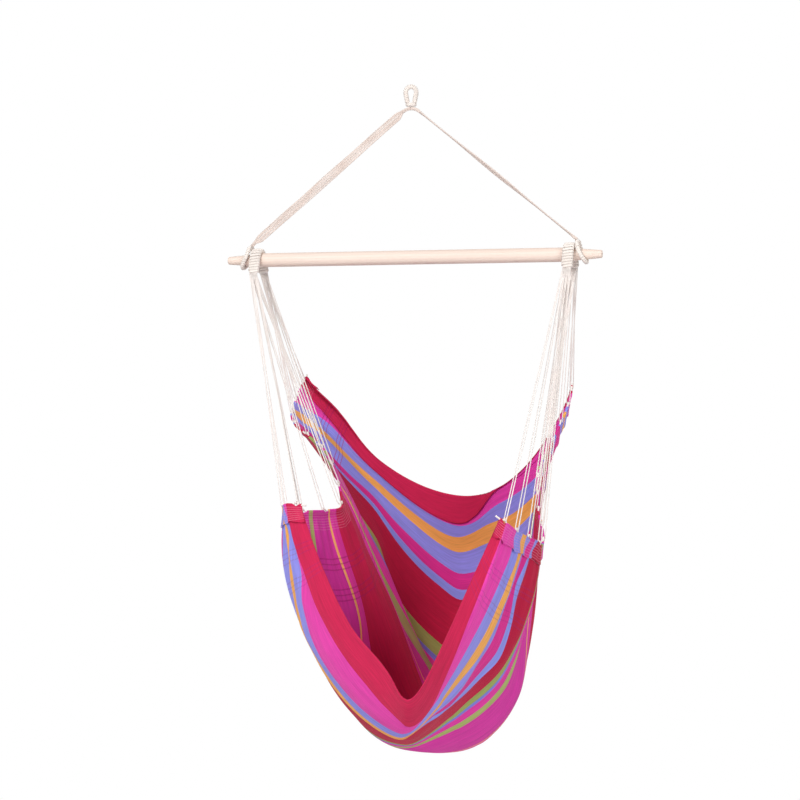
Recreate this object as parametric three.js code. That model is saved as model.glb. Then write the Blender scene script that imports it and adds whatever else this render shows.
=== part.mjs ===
// Hammock chair: a served rope eye, two suspension bundles, a tapered spreader bar,
// two served seat loops, fans of doubled cotton cords, hem ropes and a striped cloth seat.
// Millimetres, +Z up, +X along the bar, the open front of the seat towards -Y.
// The origin is the point inside the top eye where the hook bears.
import * as THREE from 'three';

// Cords and running clearance
const GAP = 0.3;
const BAR_CLEARANCE = 0.3;
const HEM_ROPE_CLEARANCE = 0.9;
const BIGHT_CLEARANCE = 0.9;
const SERVING_DIAMETER = 3;
const EYE_SERVING_DIAMETER = 2.6;
const SEAT_CORD_DIAMETER = 2.8;
const SUSPENSION_CORD_DIAMETER = 3.2;
const HEM_ROPE_DIAMETER = 5;

// Top eye and throat
const EYE_CORE_DIAMETER = 7.6;
const EYE_INNER_WIDTH = 17;
const EYE_HEIGHT = 38;
const EYE_FOOT_SPREAD = 21;
const EYE_TURNS = 16;
const THROAT_WIDTH = 27;
const THROAT_DEPTH = 13;
const THROAT_HEIGHT = 11;
const THROAT_TURNS = 2;

// Suspension bundles and their rings round the bar
const BUNDLE_CORDS = 8;
const BUNDLE_NECK_DIAMETER = 10.4;
const BUNDLE_GATHER = 36;
const BUNDLE_BEND = 26;
const LEFT_RIBBON_TURN = THREE.MathUtils.degToRad(0);
const RIGHT_RIBBON_TURN = THREE.MathUtils.degToRad(72);
const RING_CORE_DIAMETER = 5.4;
const RING_INSET = 57;
const RING_SLANT = 12;
const RING_RISE = 16;
const RING_TURNS = 14;
const RING_OPEN_ANGLE = THREE.MathUtils.degToRad(24);

// Spreader bar
const BAR_DROP = 475;
const BAR_LENGTH = 1100;
const BAR_DIAMETER = 40;
const BAR_TIP_DIAMETER = 22;
const BAR_TAPER = 112;
const BAR_EDGE = 3;

// Seat loops over the bar
const SEAT_LOOP_INSET = 91;
const SEAT_LOOP_THICKNESS = 6.4;
const SEAT_LOOP_LEG = 50;
const SEAT_LOOP_TURNS = 16;
const FRONT_LEG_LEAN = THREE.MathUtils.degToRad(18);
const REAR_LEG_LEAN = THREE.MathUtils.degToRad(24);

// Seat cords and hem ropes
const CORDS_A_SIDE = 14;
const CORD_PITCH = 3.1;
const CORD_ROW_PITCH = 3.2;
const ROPE_LOOP_HEIGHT = 9;
const ROPE_LOOP_HALF_WIDTH = 11;
const ROPE_END = 14;
const BIGHT_RISE = 9;

// Cloth seat: half span along the bar, reach front to back, depth below the bar
const SEAT_HALF_SPAN = 500;
const SEAT_REACH = 500;
const SEAT_DEPTH = 1400;
const CLOTH_THICKNESS = 3;
const HEM_THICKNESS = 6;
const HEM_DEPTH = 44;
const FOLD_HEIGHT = 9;

// Facets
const SERVING_STEPS = 8;
const SERVING_SIDES = 5;
const CORD_SIDES = 6;
const CORE_SIDES = 8;
const BAR_SIDES = 40;
const CLOTH_STEPS_ALONG = 34;
const CLOTH_STEPS_ACROSS = 15;

// Each row of the cloth follows one thread from hem to hem. It holds the row's place as a share
// of the cloth's width from front edge to back edge, then five points as shares of half span,
// reach and depth (left hem, left quarter, keel, right quarter, right hem), then how broad the
// bottom is, from 0 for a sharp V.
const seatShares = [
  [0, [-0.35, -0.87, 0.49], [-0.05, -0.99, 0.70], [0.30, -1.07, 0.84], [0.55, -1.01, 0.68], [0.74, -0.87, 0.51], 0.15],
  [0.054, [-0.44, -0.85, 0.49], [-0.20, -0.93, 0.73], [0.25, -0.95, 0.89], [0.60, -0.95, 0.71], [0.77, -0.84, 0.52], 0.25],
  [0.148, [-0.50, -0.73, 0.50], [-0.35, -0.73, 0.76], [0.20, -0.75, 0.93], [0.62, -0.71, 0.74], [0.80, -0.70, 0.54], 0.35],
  [0.252, [-0.53, -0.55, 0.51], [-0.35, -0.53, 0.82], [0.15, -0.57, 0.95], [0.62, -0.49, 0.77], [0.85, -0.50, 0.56], 0.50],
  [0.300, [-0.50, -0.48, 0.51], [-0.32, -0.39, 0.85], [0.10, -0.45, 0.96], [0.62, -0.39, 0.80], [0.85, -0.41, 0.57], 0.65],
  [0.354, [-0.45, -0.40, 0.51], [-0.28, -0.27, 0.88], [0.15, -0.33, 0.98], [0.62, -0.27, 0.84], [0.84, -0.31, 0.56], 0.80],
  [0.428, [-0.40, -0.29, 0.51], [-0.25, -0.09, 0.88], [0.20, -0.11, 0.99], [0.62, -0.09, 0.88], [0.80, -0.19, 0.53], 1.00],
  [0.500, [-0.35, -0.17, 0.50], [-0.10, 0.07, 0.82], [0.20, 0.09, 0.99], [0.60, 0.07, 0.87], [0.75, -0.07, 0.50], 1.00],
  [0.646, [-0.52, 0.07, 0.40], [-0.20, 0.37, 0.70], [0.15, 0.49, 0.92], [0.55, 0.35, 0.72], [0.70, 0.17, 0.43], 0.90],
  [0.748, [-0.79, 0.29, 0.34], [-0.40, 0.55, 0.58], [0.05, 0.69, 0.80], [0.55, 0.51, 0.60], [0.74, 0.35, 0.37], 0.80],
  [0.884, [-0.88, 0.53, 0.30], [-0.50, 0.73, 0.46], [0.05, 0.81, 0.63], [0.58, 0.69, 0.49], [0.78, 0.55, 0.30], 0.60],
  [1.000, [-0.87, 0.71, 0.24], [-0.45, 0.77, 0.41], [0.10, 0.75, 0.49], [0.50, 0.73, 0.42], [0.77, 0.69, 0.26], 0.50],
];
const keelRoundShare = 0.15;

// How far each row swells out between those points, at its left outer, left inner, right inner and
// right outer eighth, as shares of half span along X and of depth downward.
const swellShares = [
  [[0, 0], [0.05, 0], [0, 0], [0, 0]],
  [[0, 0], [0, 0], [0, 0], [0, 0]],
  [[0, 0], [0, 0], [0, 0], [0, 0]],
  [[0, 0], [0, 0], [0, 0], [0, 0]],
  [[0, 0], [0, 0], [0, 0], [0, 0]],
  [[0, 0], [0, 0], [0, 0], [0, 0]],
  [[0.10, 0], [0, 0], [0, 0], [-0.05, 0]],
  [[0, 0], [0, 0], [0, 0], [0, 0]],
  [[0, 0], [0, 0], [0, 0], [0, 0]],
  [[0, 0], [-0.10, 0], [0, 0], [-0.05, 0]],
  [[0, 0], [0, 0], [0, 0], [-0.05, 0]],
  [[0, -0.02], [0, 0], [0, 0], [0, 0]],
];

const BAR_Z = -BAR_DROP;
const X_AXIS = new THREE.Vector3(1, 0, 0);
const Y_AXIS = new THREE.Vector3(0, 1, 0);
const chair = new THREE.Group();
const SIDES = [
  { name: 'left', sign: -1, ribbonTurn: LEFT_RIBBON_TURN },
  { name: 'right', sign: 1, ribbonTurn: RIGHT_RIBBON_TURN },
];

// Materials and meshes

const cotton = { color: 0xf3ede2, roughness: 0.95, metalness: 0 };
const servingCotton = { color: 0xf6f1e8, roughness: 0.9, metalness: 0 };
const beech = { color: 0xe9cdb4, roughness: 0.6, metalness: 0 };
const stripedCloth = { color: 0xd02f74, roughness: 0.9, metalness: 0 };

function add(name, geometry, finish) {
  const mesh = new THREE.Mesh(geometry, new THREE.MeshStandardMaterial(finish));
  mesh.name = name;
  chair.add(mesh);
  return mesh;
}

// Geometry helpers

function vec(x, y, z) {
  return new THREE.Vector3(x, y, z);
}

// Joins rings of equal point count into one closed body. An open row of rings gets an end face
// at each end, and a loop of rings closes on itself.
function skin(rings, loop = false) {
  const n = rings[0].length;
  const positions = rings.flat().flatMap((p) => [p.x, p.y, p.z]);
  const index = [];
  const last = loop ? rings.length : rings.length - 1;
  for (let i = 0; i < last; i++) {
    const a = i * n;
    const b = ((i + 1) % rings.length) * n;
    for (let k = 0; k < n; k++) {
      const m = (k + 1) % n;
      index.push(a + k, b + k, b + m, a + k, b + m, a + m);
    }
  }
  if (!loop) {
    const end = (rings.length - 1) * n;
    for (let k = 1; k < n - 1; k++) {
      index.push(0, k, k + 1, end, end + k + 1, end + k);
    }
  }
  return outward(positions, index);
}

// Turns every face of a closed body outward.
function outward(positions, index) {
  let volume = 0;
  const p = (i) => vec(positions[3 * i], positions[3 * i + 1], positions[3 * i + 2]);
  for (let i = 0; i < index.length; i += 3) {
    volume += p(index[i]).dot(p(index[i + 1]).cross(p(index[i + 2])));
  }
  if (volume < 0) {
    index.reverse();
  }
  const geometry = new THREE.BufferGeometry();
  geometry.setAttribute('position', new THREE.Float32BufferAttribute(positions, 3));
  geometry.setIndex(index);
  geometry.computeVertexNormals();
  return geometry;
}

// Unit tangents of a row of points.
function tangentsOf(points) {
  return points.map((p, i) => {
    const before = points[Math.max(i - 1, 0)];
    const after = points[Math.min(i + 1, points.length - 1)];
    return after.clone().sub(before).normalize();
  });
}

// Carries a first cross direction along a row of tangents without twist.
function carried(tangents, first) {
  const across = [];
  let a = first.clone().addScaledVector(tangents[0], -first.dot(tangents[0])).normalize();
  for (const t of tangents) {
    a = a.clone().addScaledVector(t, -a.dot(t)).normalize();
    across.push(a);
  }
  return across;
}

// A round cord along a row of points, as one closed body.
function cord(points, radius, sides, first = Y_AXIS, tangents = tangentsOf(points)) {
  const across = carried(tangents, first);
  const rings = points.map((p, i) => {
    const up = tangents[i].clone().cross(across[i]);
    const ring = [];
    for (let k = 0; k < sides; k++) {
      const angle = (2 * Math.PI * k) / sides;
      ring.push(
        p
          .clone()
          .addScaledVector(across[i], radius * Math.cos(angle))
          .addScaledVector(up, radius * Math.sin(angle)),
      );
    }
    return ring;
  });
  return skin(rings);
}

// The radius at which a faceted serving clears a round core of the given radius.
function servingReach(coreRadius, gauge) {
  return (coreRadius + GAP + gauge / 2) / Math.cos(Math.PI / SERVING_STEPS);
}

// Half the thickness of a served round core, over its serving.
function servedRadius(coreRadius, gauge) {
  return servingReach(coreRadius, gauge) + gauge / 2;
}

// A serving: one unbroken cord that winds round a core. place(t) gives the core's centre, its
// two cross directions and the winding's outline there.
function serving(name, place, outline, turns, gauge) {
  const steps = Math.round(turns * SERVING_STEPS);
  const points = [];
  for (let i = 0; i <= steps; i++) {
    const { centre, across, up } = place(i / steps);
    const [a, b] = outline(i / SERVING_STEPS);
    points.push(centre.clone().addScaledVector(across, a).addScaledVector(up, b));
  }
  console.log(`${name}: least gap to itself ${(leastSpacing(points) - gauge).toFixed(2)} mm`);
  return cord(points, gauge / 2, SERVING_SIDES, X_AXIS);
}

// The least spacing of a winding's middle line to itself, measured on points between its steps.
function leastSpacing(points) {
  const fine = [];
  const parts = 4;
  for (let i = 0; i < points.length - 1; i++) {
    for (let k = 0; k < parts; k++) {
      fine.push(points[i].clone().lerp(points[i + 1], k / parts));
    }
  }
  const apart = (parts * SERVING_STEPS) / 2;
  let least = Infinity;
  for (let i = 0; i < fine.length; i++) {
    for (let k = i + apart; k < fine.length; k++) {
      least = Math.min(least, fine[i].distanceTo(fine[k]));
    }
  }
  return least;
}

// A round outline for a serving, in turns.
function roundOutline(radius) {
  return (turn) => {
    const angle = 2 * Math.PI * turn;
    return [radius * Math.cos(angle), radius * Math.sin(angle)];
  };
}

// Points of a flat band's outline with round ends, eight in a turn.
function bandPoint(halfWidth, radius, k) {
  const endAngles = [Math.PI / 2, Math.PI / 6, -Math.PI / 6, -Math.PI / 2];
  const i = ((k % SERVING_STEPS) + SERVING_STEPS) % SERVING_STEPS;
  const side = i < endAngles.length ? 1 : -1;
  const angle = endAngles[i % endAngles.length];
  return [side * (halfWidth + radius * Math.cos(angle)), side * radius * Math.sin(angle)];
}

// Top eye: the suspension cords bent over the hook, with arms that draw together at the throat

const eyeCore = EYE_CORE_DIAMETER / 2;
const eyeServed = servedRadius(eyeCore, EYE_SERVING_DIAMETER);
const eyeBend = EYE_INNER_WIDTH / 2 + eyeServed;
const eyeTop = eyeServed;
const eyeCentreZ = eyeTop - eyeBend;
const eyeFootZ = -EYE_HEIGHT;
const eyeLine = new THREE.CatmullRomCurve3(
  [
    vec(-EYE_FOOT_SPREAD / 2, 0, eyeFootZ),
    vec(-(EYE_FOOT_SPREAD / 2 + eyeBend) / 2, 0, (eyeFootZ + eyeCentreZ) / 2),
    vec(-eyeBend, 0, eyeCentreZ),
    vec(-eyeBend * Math.SQRT1_2, 0, eyeCentreZ + eyeBend * Math.SQRT1_2),
    vec(0, 0, eyeTop),
    vec(eyeBend * Math.SQRT1_2, 0, eyeCentreZ + eyeBend * Math.SQRT1_2),
    vec(eyeBend, 0, eyeCentreZ),
    vec((EYE_FOOT_SPREAD / 2 + eyeBend) / 2, 0, (eyeFootZ + eyeCentreZ) / 2),
    vec(EYE_FOOT_SPREAD / 2, 0, eyeFootZ),
  ],
  false,
  'catmullrom',
);

function eyePlace(t) {
  const spareShare = (EYE_SERVING_DIAMETER / 2 + GAP) / eyeLine.getLength();
  const u = spareShare + t * (1 - 2 * spareShare);
  const centre = eyeLine.getPointAt(u);
  const up = eyeLine.getTangentAt(u).cross(Y_AXIS);
  return { centre, across: Y_AXIS, up };
}

const eyePoints = eyeLine.getSpacedPoints(22);
const eyeTangents = tangentsOf(eyePoints);
eyeTangents[0].set(0, 0, 1);
eyeTangents[eyePoints.length - 1].set(0, 0, -1);
add('top_eye', cord(eyePoints, eyeCore, CORE_SIDES, Y_AXIS, eyeTangents), cotton);
const eyeOutline = roundOutline(servingReach(eyeCore, EYE_SERVING_DIAMETER));
const eyeServing = serving('eye_serving', eyePlace, eyeOutline, EYE_TURNS, EYE_SERVING_DIAMETER);
add('eye_serving', eyeServing, servingCotton);

// Throat: the pinched bundle under the eye and the turns of cord that hold it

const throatTop = eyeFootZ - GAP;
const throatFoot = throatTop - THROAT_HEIGHT;

function oval(halfWidth, halfDepth, z, sides) {
  const ring = [];
  for (let k = 0; k < sides; k++) {
    const angle = (2 * Math.PI * k) / sides;
    ring.push(vec(halfWidth * Math.cos(angle), halfDepth * Math.sin(angle), z));
  }
  return ring;
}

const throatHalfWidth = THROAT_WIDTH / 2;
const throatHalfDepth = THROAT_DEPTH / 2;
add(
  'throat_bundle',
  skin([
    oval(throatHalfWidth, throatHalfDepth, throatTop, 16),
    oval(throatHalfWidth, throatHalfDepth, throatFoot, 16),
  ]),
  cotton,
);

function throatPlace(t) {
  const spare = SERVING_DIAMETER / 2 + GAP / 2;
  const z = throatTop - spare - t * (THROAT_HEIGHT - 2 * spare);
  return { centre: vec(0, 0, z), across: X_AXIS, up: Y_AXIS };
}

function throatOutline(turn) {
  const angle = 2 * Math.PI * turn;
  const reach = servingReach(0, SERVING_DIAMETER);
  const wide = throatHalfWidth / Math.cos(Math.PI / SERVING_STEPS) + reach;
  const deep = throatHalfDepth / Math.cos(Math.PI / SERVING_STEPS) + reach;
  return [wide * Math.cos(angle), deep * Math.sin(angle)];
}

add(
  'throat_whipping',
  serving('throat_whipping', throatPlace, throatOutline, THROAT_TURNS, SERVING_DIAMETER),
  servingCotton,
);

// Spreader bar: a beech rod with both ends tapered and their edges rounded

function barRadius(x) {
  const into = Math.max(0, Math.abs(x) - (BAR_LENGTH / 2 - BAR_TAPER));
  return BAR_DIAMETER / 2 - ((BAR_DIAMETER - BAR_TIP_DIAMETER) / 2) * (into / BAR_TAPER);
}

function barProfile() {
  const half = BAR_LENGTH / 2;
  const tip = BAR_TIP_DIAMETER / 2;
  const end = [];
  for (const angle of [0, Math.PI / 4, Math.PI / 2]) {
    const x = half - BAR_EDGE + BAR_EDGE * Math.cos(angle);
    const r = tip - BAR_EDGE + BAR_EDGE * Math.sin(angle);
    end.push(new THREE.Vector2(r, x));
  }
  const shoulder = new THREE.Vector2(BAR_DIAMETER / 2, half - BAR_TAPER);
  const upper = [new THREE.Vector2(0, half), ...end, shoulder];
  const lower = upper.map((p) => new THREE.Vector2(p.x, -p.y));
  return [...lower, ...upper.reverse()];
}

const barGeometry = new THREE.LatheGeometry(barProfile(), BAR_SIDES);
const bar = add('spreader_bar', barGeometry, beech);
bar.rotation.z = -Math.PI / 2;
bar.position.z = BAR_Z;

// Suspension rings: each bundle's end laid as a slanted ring round the bar's taper

const ringX = BAR_LENGTH / 2 - RING_INSET;
const ringCore = RING_CORE_DIAMETER / 2;
const ringReach = servingReach(ringCore, SERVING_DIAMETER);
const ringServed = servedRadius(ringCore, SERVING_DIAMETER);

// The ring's middle line by its angle from the top, where it rises to meet the bundle. It
// follows the bar's taper, so that the bar rests in it.
function ringPoint(sign, phi) {
  const x = ringX - RING_SLANT * Math.cos(phi);
  const seated = barRadius(x - ringServed / 2) + BAR_CLEARANCE + ringServed;
  const radius = seated + RING_RISE * Math.max(0, Math.cos(phi)) ** 4;
  return vec(sign * x, radius * Math.sin(phi), BAR_Z + radius * Math.cos(phi));
}

function ringPlace(sign, phi) {
  const step = 0.01;
  const centre = ringPoint(sign, phi);
  const tangent = ringPoint(sign, phi + step).sub(ringPoint(sign, phi - step)).normalize();
  const across = vec(0, Math.sin(phi), Math.cos(phi)).cross(tangent).normalize();
  return { centre, across, up: tangent.clone().cross(across) };
}

function suspensionRing(sign) {
  const rings = [];
  const steps = 20;
  for (let i = 0; i < steps; i++) {
    const { centre, across, up } = ringPlace(sign, (2 * Math.PI * i) / steps);
    const ring = [];
    for (let k = 0; k < CORE_SIDES; k++) {
      const [a, b] = roundOutline(ringCore)(k / CORE_SIDES);
      ring.push(centre.clone().addScaledVector(across, a).addScaledVector(up, b));
    }
    rings.push(ring);
  }
  return skin(rings, true);
}

function ringServing(name, sign) {
  const place = (t) =>
    ringPlace(sign, RING_OPEN_ANGLE + t * (2 * Math.PI - 2 * RING_OPEN_ANGLE));
  return serving(name, place, roundOutline(ringReach), RING_TURNS, SERVING_DIAMETER);
}

// Suspension bundles: flat ribbons of parallel cords, gathered round at both ends

const bundleTopZ = throatFoot - GAP - BUNDLE_NECK_DIAMETER / 2;

function bundleLine(sign) {
  const ringTop = ringPlace(sign, 0).centre;
  const crown = vec((sign * GAP) / 2, 0, bundleTopZ);
  const turn = vec((sign * BUNDLE_BEND) / 2, 0, bundleTopZ);
  const along = ringTop.clone().sub(turn).normalize();
  const leave = turn.clone().addScaledVector(along, BUNDLE_BEND / 2);
  const end = ringTop.clone().addScaledVector(along, -(ringCore + GAP));
  const line = new THREE.CurvePath();
  line.add(new THREE.QuadraticBezierCurve3(crown, turn, leave));
  line.add(new THREE.LineCurve3(leave, end));
  return line;
}

// One outline point of the bundle: k of n, gathered from 0 for a flat ribbon to 1 for a round neck.
function bundlePoint(k, n, gathered) {
  const halfPitch = (SUSPENSION_CORD_DIAMETER * 0.97) / 2;
  const half = n / 2;
  const upper = k < half;
  const i = upper ? k : k - half;
  const widthAt = (upper ? 1 : -1) * (i - half / 2) * halfPitch;
  const crest = SUSPENSION_CORD_DIAMETER / 2;
  const rise = i % 2 === 1 ? crest : crest * 0.35;
  const flat = [widthAt, (upper ? -1 : 1) * rise];
  const angle = -Math.PI + (2 * Math.PI * k) / n;
  const neck = BUNDLE_NECK_DIAMETER / 2;
  const round = [neck * Math.cos(angle), neck * Math.sin(angle)];
  return [0, 1].map((c) => flat[c] * (1 - gathered) + round[c] * gathered);
}

function suspensionBundle(sign, ribbonTurn) {
  const line = bundleLine(sign);
  const length = line.getLength();
  const ends = [0, 0.25, 0.5, 0.75, 1].map((s) => s * (BUNDLE_BEND / 2));
  const spread = [0.25, 0.5, 0.75, 1].map((s) => BUNDLE_BEND / 2 + s * BUNDLE_GATHER);
  const gather = [1, 0.75, 0.5, 0.25, 0].map((s) => length - s * BUNDLE_GATHER);
  const stations = [...ends, ...spread, ...gather];
  const n = 4 * BUNDLE_CORDS;
  const rings = stations.map((s) => {
    const u = s / length;
    const centre = line.getPointAt(u);
    const tangent = s === 0 ? vec(sign, 0, 0) : line.getTangentAt(u);
    const inPlane = Y_AXIS.clone().cross(tangent).normalize();
    const width = inPlane.clone().applyAxisAngle(tangent, ribbonTurn);
    const thick = tangent.clone().cross(width);
    const fromTop = THREE.MathUtils.smoothstep(s, BUNDLE_BEND / 2, BUNDLE_BEND / 2 + BUNDLE_GATHER);
    const fromEnd = THREE.MathUtils.smoothstep(length - s, 0, BUNDLE_GATHER);
    const gathered = 1 - Math.min(fromTop, fromEnd);
    const ring = [];
    for (let k = 0; k < n; k++) {
      const [a, b] = bundlePoint(k, n, gathered);
      ring.push(centre.clone().addScaledVector(width, a).addScaledVector(thick, b));
    }
    return ring;
  });
  return skin(rings);
}

for (const { name, sign, ribbonTurn } of SIDES) {
  add(`suspension_bundle_${name}`, suspensionBundle(sign, ribbonTurn), cotton);
  add(`suspension_ring_${name}`, suspensionRing(sign), cotton);
  const servingName = `ring_serving_${name}`;
  add(servingName, ringServing(servingName, sign), servingCotton);
}

// Seat loops: a flat band of the seat cords' upper ends, over the bar, with a front and a rear leg

const bandRadius = SEAT_LOOP_THICKNESS / 2;
const bandWidth = CORD_PITCH * 8;
const bandEnd = bandWidth / 2 - bandRadius;
const wrapRadius = (bandRadius + GAP + SERVING_DIAMETER / 2) / Math.cos(Math.PI / 6);
const wrapHalfThickness = wrapRadius + SERVING_DIAMETER / 2;
const loopX = BAR_LENGTH / 2 - SEAT_LOOP_INSET;
const loopInnerEdge = loopX - bandEnd - SERVING_DIAMETER / 2;
const loopRadius = barRadius(loopInnerEdge) + BAR_CLEARANCE + wrapHalfThickness;
const loopArc = Math.PI - FRONT_LEG_LEAN - REAR_LEG_LEAN;
const loopLength = 2 * SEAT_LOOP_LEG + loopRadius * loopArc;

// The band's middle line at a distance s from the front leg's end.
function loopPlace(sign, s) {
  const x = sign * loopX;
  const from = FRONT_LEG_LEAN - Math.PI / 2;
  const to = Math.PI / 2 - REAR_LEG_LEAN;
  const arcEnd = loopLength - SEAT_LOOP_LEG;
  const theta = THREE.MathUtils.clamp(from + (s - SEAT_LOOP_LEG) / loopRadius, from, to);
  const tangent = vec(0, Math.cos(theta), -Math.sin(theta));
  const up = vec(0, Math.sin(theta), Math.cos(theta));
  const past = s < SEAT_LOOP_LEG ? s - SEAT_LOOP_LEG : Math.max(0, s - arcEnd);
  const centre = vec(x, 0, BAR_Z)
    .addScaledVector(up, loopRadius)
    .addScaledVector(tangent, past);
  return { centre, tangent, across: X_AXIS, up };
}

function seatLoop(sign) {
  const stations = [0, SEAT_LOOP_LEG];
  const arcSteps = 10;
  for (let i = 1; i <= arcSteps; i++) {
    stations.push(SEAT_LOOP_LEG + (i / arcSteps) * loopRadius * loopArc);
  }
  stations.push(loopLength);
  const rings = stations.map((s) => {
    const { centre, across, up } = loopPlace(sign, s);
    const ring = [];
    for (let k = 0; k < SERVING_STEPS; k++) {
      const [a, b] = bandPoint(bandEnd, bandRadius, k);
      ring.push(centre.clone().addScaledVector(across, a).addScaledVector(up, b));
    }
    return ring;
  });
  return skin(rings);
}

function seatLoopServing(name, sign) {
  const spare = SERVING_DIAMETER / 2 + GAP;
  const place = (t) => loopPlace(sign, spare + t * (loopLength - 2 * spare));
  const outline = (turn) => bandPoint(bandEnd, wrapRadius, Math.round(turn * SERVING_STEPS));
  return serving(name, place, outline, SEAT_LOOP_TURNS, SERVING_DIAMETER);
}

for (const { name, sign } of SIDES) {
  add(`seat_loop_${name}`, seatLoop(sign), cotton);
  const servingName = `seat_loop_serving_${name}`;
  add(servingName, seatLoopServing(servingName, sign), servingCotton);
}

// Cloth seat

function seatPoint([spanShare, reachShare, depthShare]) {
  return vec(
    spanShare * SEAT_HALF_SPAN,
    reachShare * SEAT_REACH,
    BAR_Z - depthShare * SEAT_DEPTH,
  );
}

function seatOffset([spanShare, depthShare]) {
  return vec(spanShare * SEAT_HALF_SPAN, 0, -depthShare * SEAT_DEPTH);
}

// A V with a rounded tip: 0 at the tip, 1 at either side.
function roundedV(w, round) {
  return (Math.hypot(w, round) - round) / (Math.hypot(1, round) - round);
}

// A swell that is 0 at the keel and at the hems, and smooth across the keel.
function swell(w) {
  const r = roundedV(w, keelRoundShare);
  return 4 * r * (1 - r);
}

// The plain thread through left hem, keel and right hem.
function plainThread(left, keel, right, round, w) {
  const half = right.clone().sub(left).divideScalar(2);
  const bow = left.clone().add(right).divideScalar(2).sub(keel);
  const point = keel.clone().addScaledVector(half, w).addScaledVector(bow, w * w);
  point.z = keel.z + w * half.z + bow.z * roundedV(w, round);
  return point;
}

const seatRows = seatShares.map((shares, i) => {
  const [place, left, leftQuarter, keel, rightQuarter, right, round] = shares;
  const [a, q, m, r, b] = [left, leftQuarter, keel, rightQuarter, right].map(seatPoint);
  const [leftOuter, leftInner, rightInner, rightOuter] = swellShares[i].map(seatOffset);
  return {
    place,
    round,
    left: a,
    keel: m,
    right: b,
    leftSwell: q.sub(plainThread(a, m, b, round, -0.5)).divideScalar(swell(0.5)),
    rightSwell: r.sub(plainThread(a, m, b, round, 0.5)).divideScalar(swell(0.5)),
    leftOuter,
    leftInner,
    rightInner,
    rightOuter,
  };
});

// Smooth value between rows, with each row's slope taken from its neighbours.
function betweenRows(key, u) {
  const last = seatRows.length - 1;
  let i = 0;
  while (i < last - 1 && seatRows[i + 1].place <= u) {
    i++;
  }
  const value = (k) => {
    const v = seatRows[k][key];
    return typeof v === 'number' ? vec(v, 0, 0) : v;
  };
  const slope = (k) => {
    const before = Math.max(k - 1, 0);
    const after = Math.min(k + 1, last);
    const run = seatRows[after].place - seatRows[before].place;
    return value(after).clone().sub(value(before)).divideScalar(run);
  };
  const run = seatRows[i + 1].place - seatRows[i].place;
  const f = (u - seatRows[i].place) / run;
  return value(i)
    .clone()
    .multiplyScalar(2 * f ** 3 - 3 * f ** 2 + 1)
    .addScaledVector(slope(i), run * (f ** 3 - 2 * f ** 2 + f))
    .addScaledVector(value(i + 1), 3 * f ** 2 - 2 * f ** 3)
    .addScaledVector(slope(i + 1), run * (f ** 3 - f ** 2));
}

// The cloth's middle surface: u from front edge to back edge, w from left hem -1 to right hem 1.
function clothPoint(u, w) {
  const left = betweenRows('left', u);
  const right = betweenRows('right', u);
  const keel = betweenRows('keel', u);
  const round = betweenRows('round', u).x;
  const point = plainThread(left, keel, right, round, w);
  point.addScaledVector(betweenRows(w < 0 ? 'leftSwell' : 'rightSwell', u), swell(w));
  const [outer, inner] = w < 0 ? ['leftOuter', 'leftInner'] : ['rightOuter', 'rightInner'];
  const eighth = Math.abs(w) > 0.5 ? outer : inner;
  return point.addScaledVector(betweenRows(eighth, u), Math.sin(2 * Math.PI * w) ** 2);
}

function clothNormal(u, w) {
  const step = 0.004;
  const along = clothPoint(Math.min(u + step, 1), w).sub(clothPoint(Math.max(u - step, 0), w));
  const across = clothPoint(u, Math.min(w + step, 1)).sub(clothPoint(u, Math.max(w - step, -1)));
  return across.cross(along).normalize();
}

// Folds gathered at each hem run down the cloth and die out before the keel.
function fold(u, w) {
  const foldsASide = 6;
  const fromHem = 1 - Math.abs(w);
  const fade = Math.sin(Math.PI * Math.min(1, fromHem * 1.5)) * Math.sin(Math.PI * u);
  return FOLD_HEIGHT * fade * Math.sin(2 * Math.PI * foldsASide * u);
}

function clothThickness(fromHem) {
  const inHem = 1 - THREE.MathUtils.smoothstep(fromHem, HEM_DEPTH, HEM_DEPTH * 1.5);
  return CLOTH_THICKNESS + (HEM_THICKNESS - CLOTH_THICKNESS) * inHem;
}

function seatCloth() {
  const positions = [];
  const index = [];
  const columns = CLOTH_STEPS_ACROSS + 1;
  const rowCount = CLOTH_STEPS_ALONG + 1;
  for (const side of [1, -1]) {
    for (let i = 0; i < rowCount; i++) {
      for (let k = 0; k < columns; k++) {
        const u = i / CLOTH_STEPS_ALONG;
        const w = -1 + (2 * k) / CLOTH_STEPS_ACROSS;
        const middle = clothPoint(u, w);
        const hem = clothPoint(u, w < 0 ? -1 : 1);
        const thickness = clothThickness(middle.distanceTo(hem));
        const offset = fold(u, w) + (side * thickness) / 2;
        const p = middle.addScaledVector(clothNormal(u, w), offset);
        positions.push(p.x, p.y, p.z);
      }
    }
  }
  const layer = rowCount * columns;
  const quad = (a, b, c, d) => index.push(a, b, c, a, c, d);
  for (let i = 0; i < CLOTH_STEPS_ALONG; i++) {
    for (let k = 0; k < CLOTH_STEPS_ACROSS; k++) {
      const a = i * columns + k;
      const b = a + 1;
      const d = a + columns;
      quad(a, b, d + 1, d);
      quad(layer + a, layer + d, layer + d + 1, layer + b);
    }
  }
  for (let i = 0; i < CLOTH_STEPS_ALONG; i++) {
    const a = i * columns;
    const z = a + columns - 1;
    quad(a, a + columns, layer + a + columns, layer + a);
    quad(z, layer + z, layer + z + columns, z + columns);
  }
  for (let k = 0; k < CLOTH_STEPS_ACROSS; k++) {
    const end = (rowCount - 1) * columns + k;
    quad(k, layer + k, layer + k + 1, k + 1);
    quad(end, end + 1, layer + end + 1, layer + end);
  }
  return outward(positions, index);
}

add('seat_cloth', seatCloth(), stripedCloth);

// Hem ropes and seat cords

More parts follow.
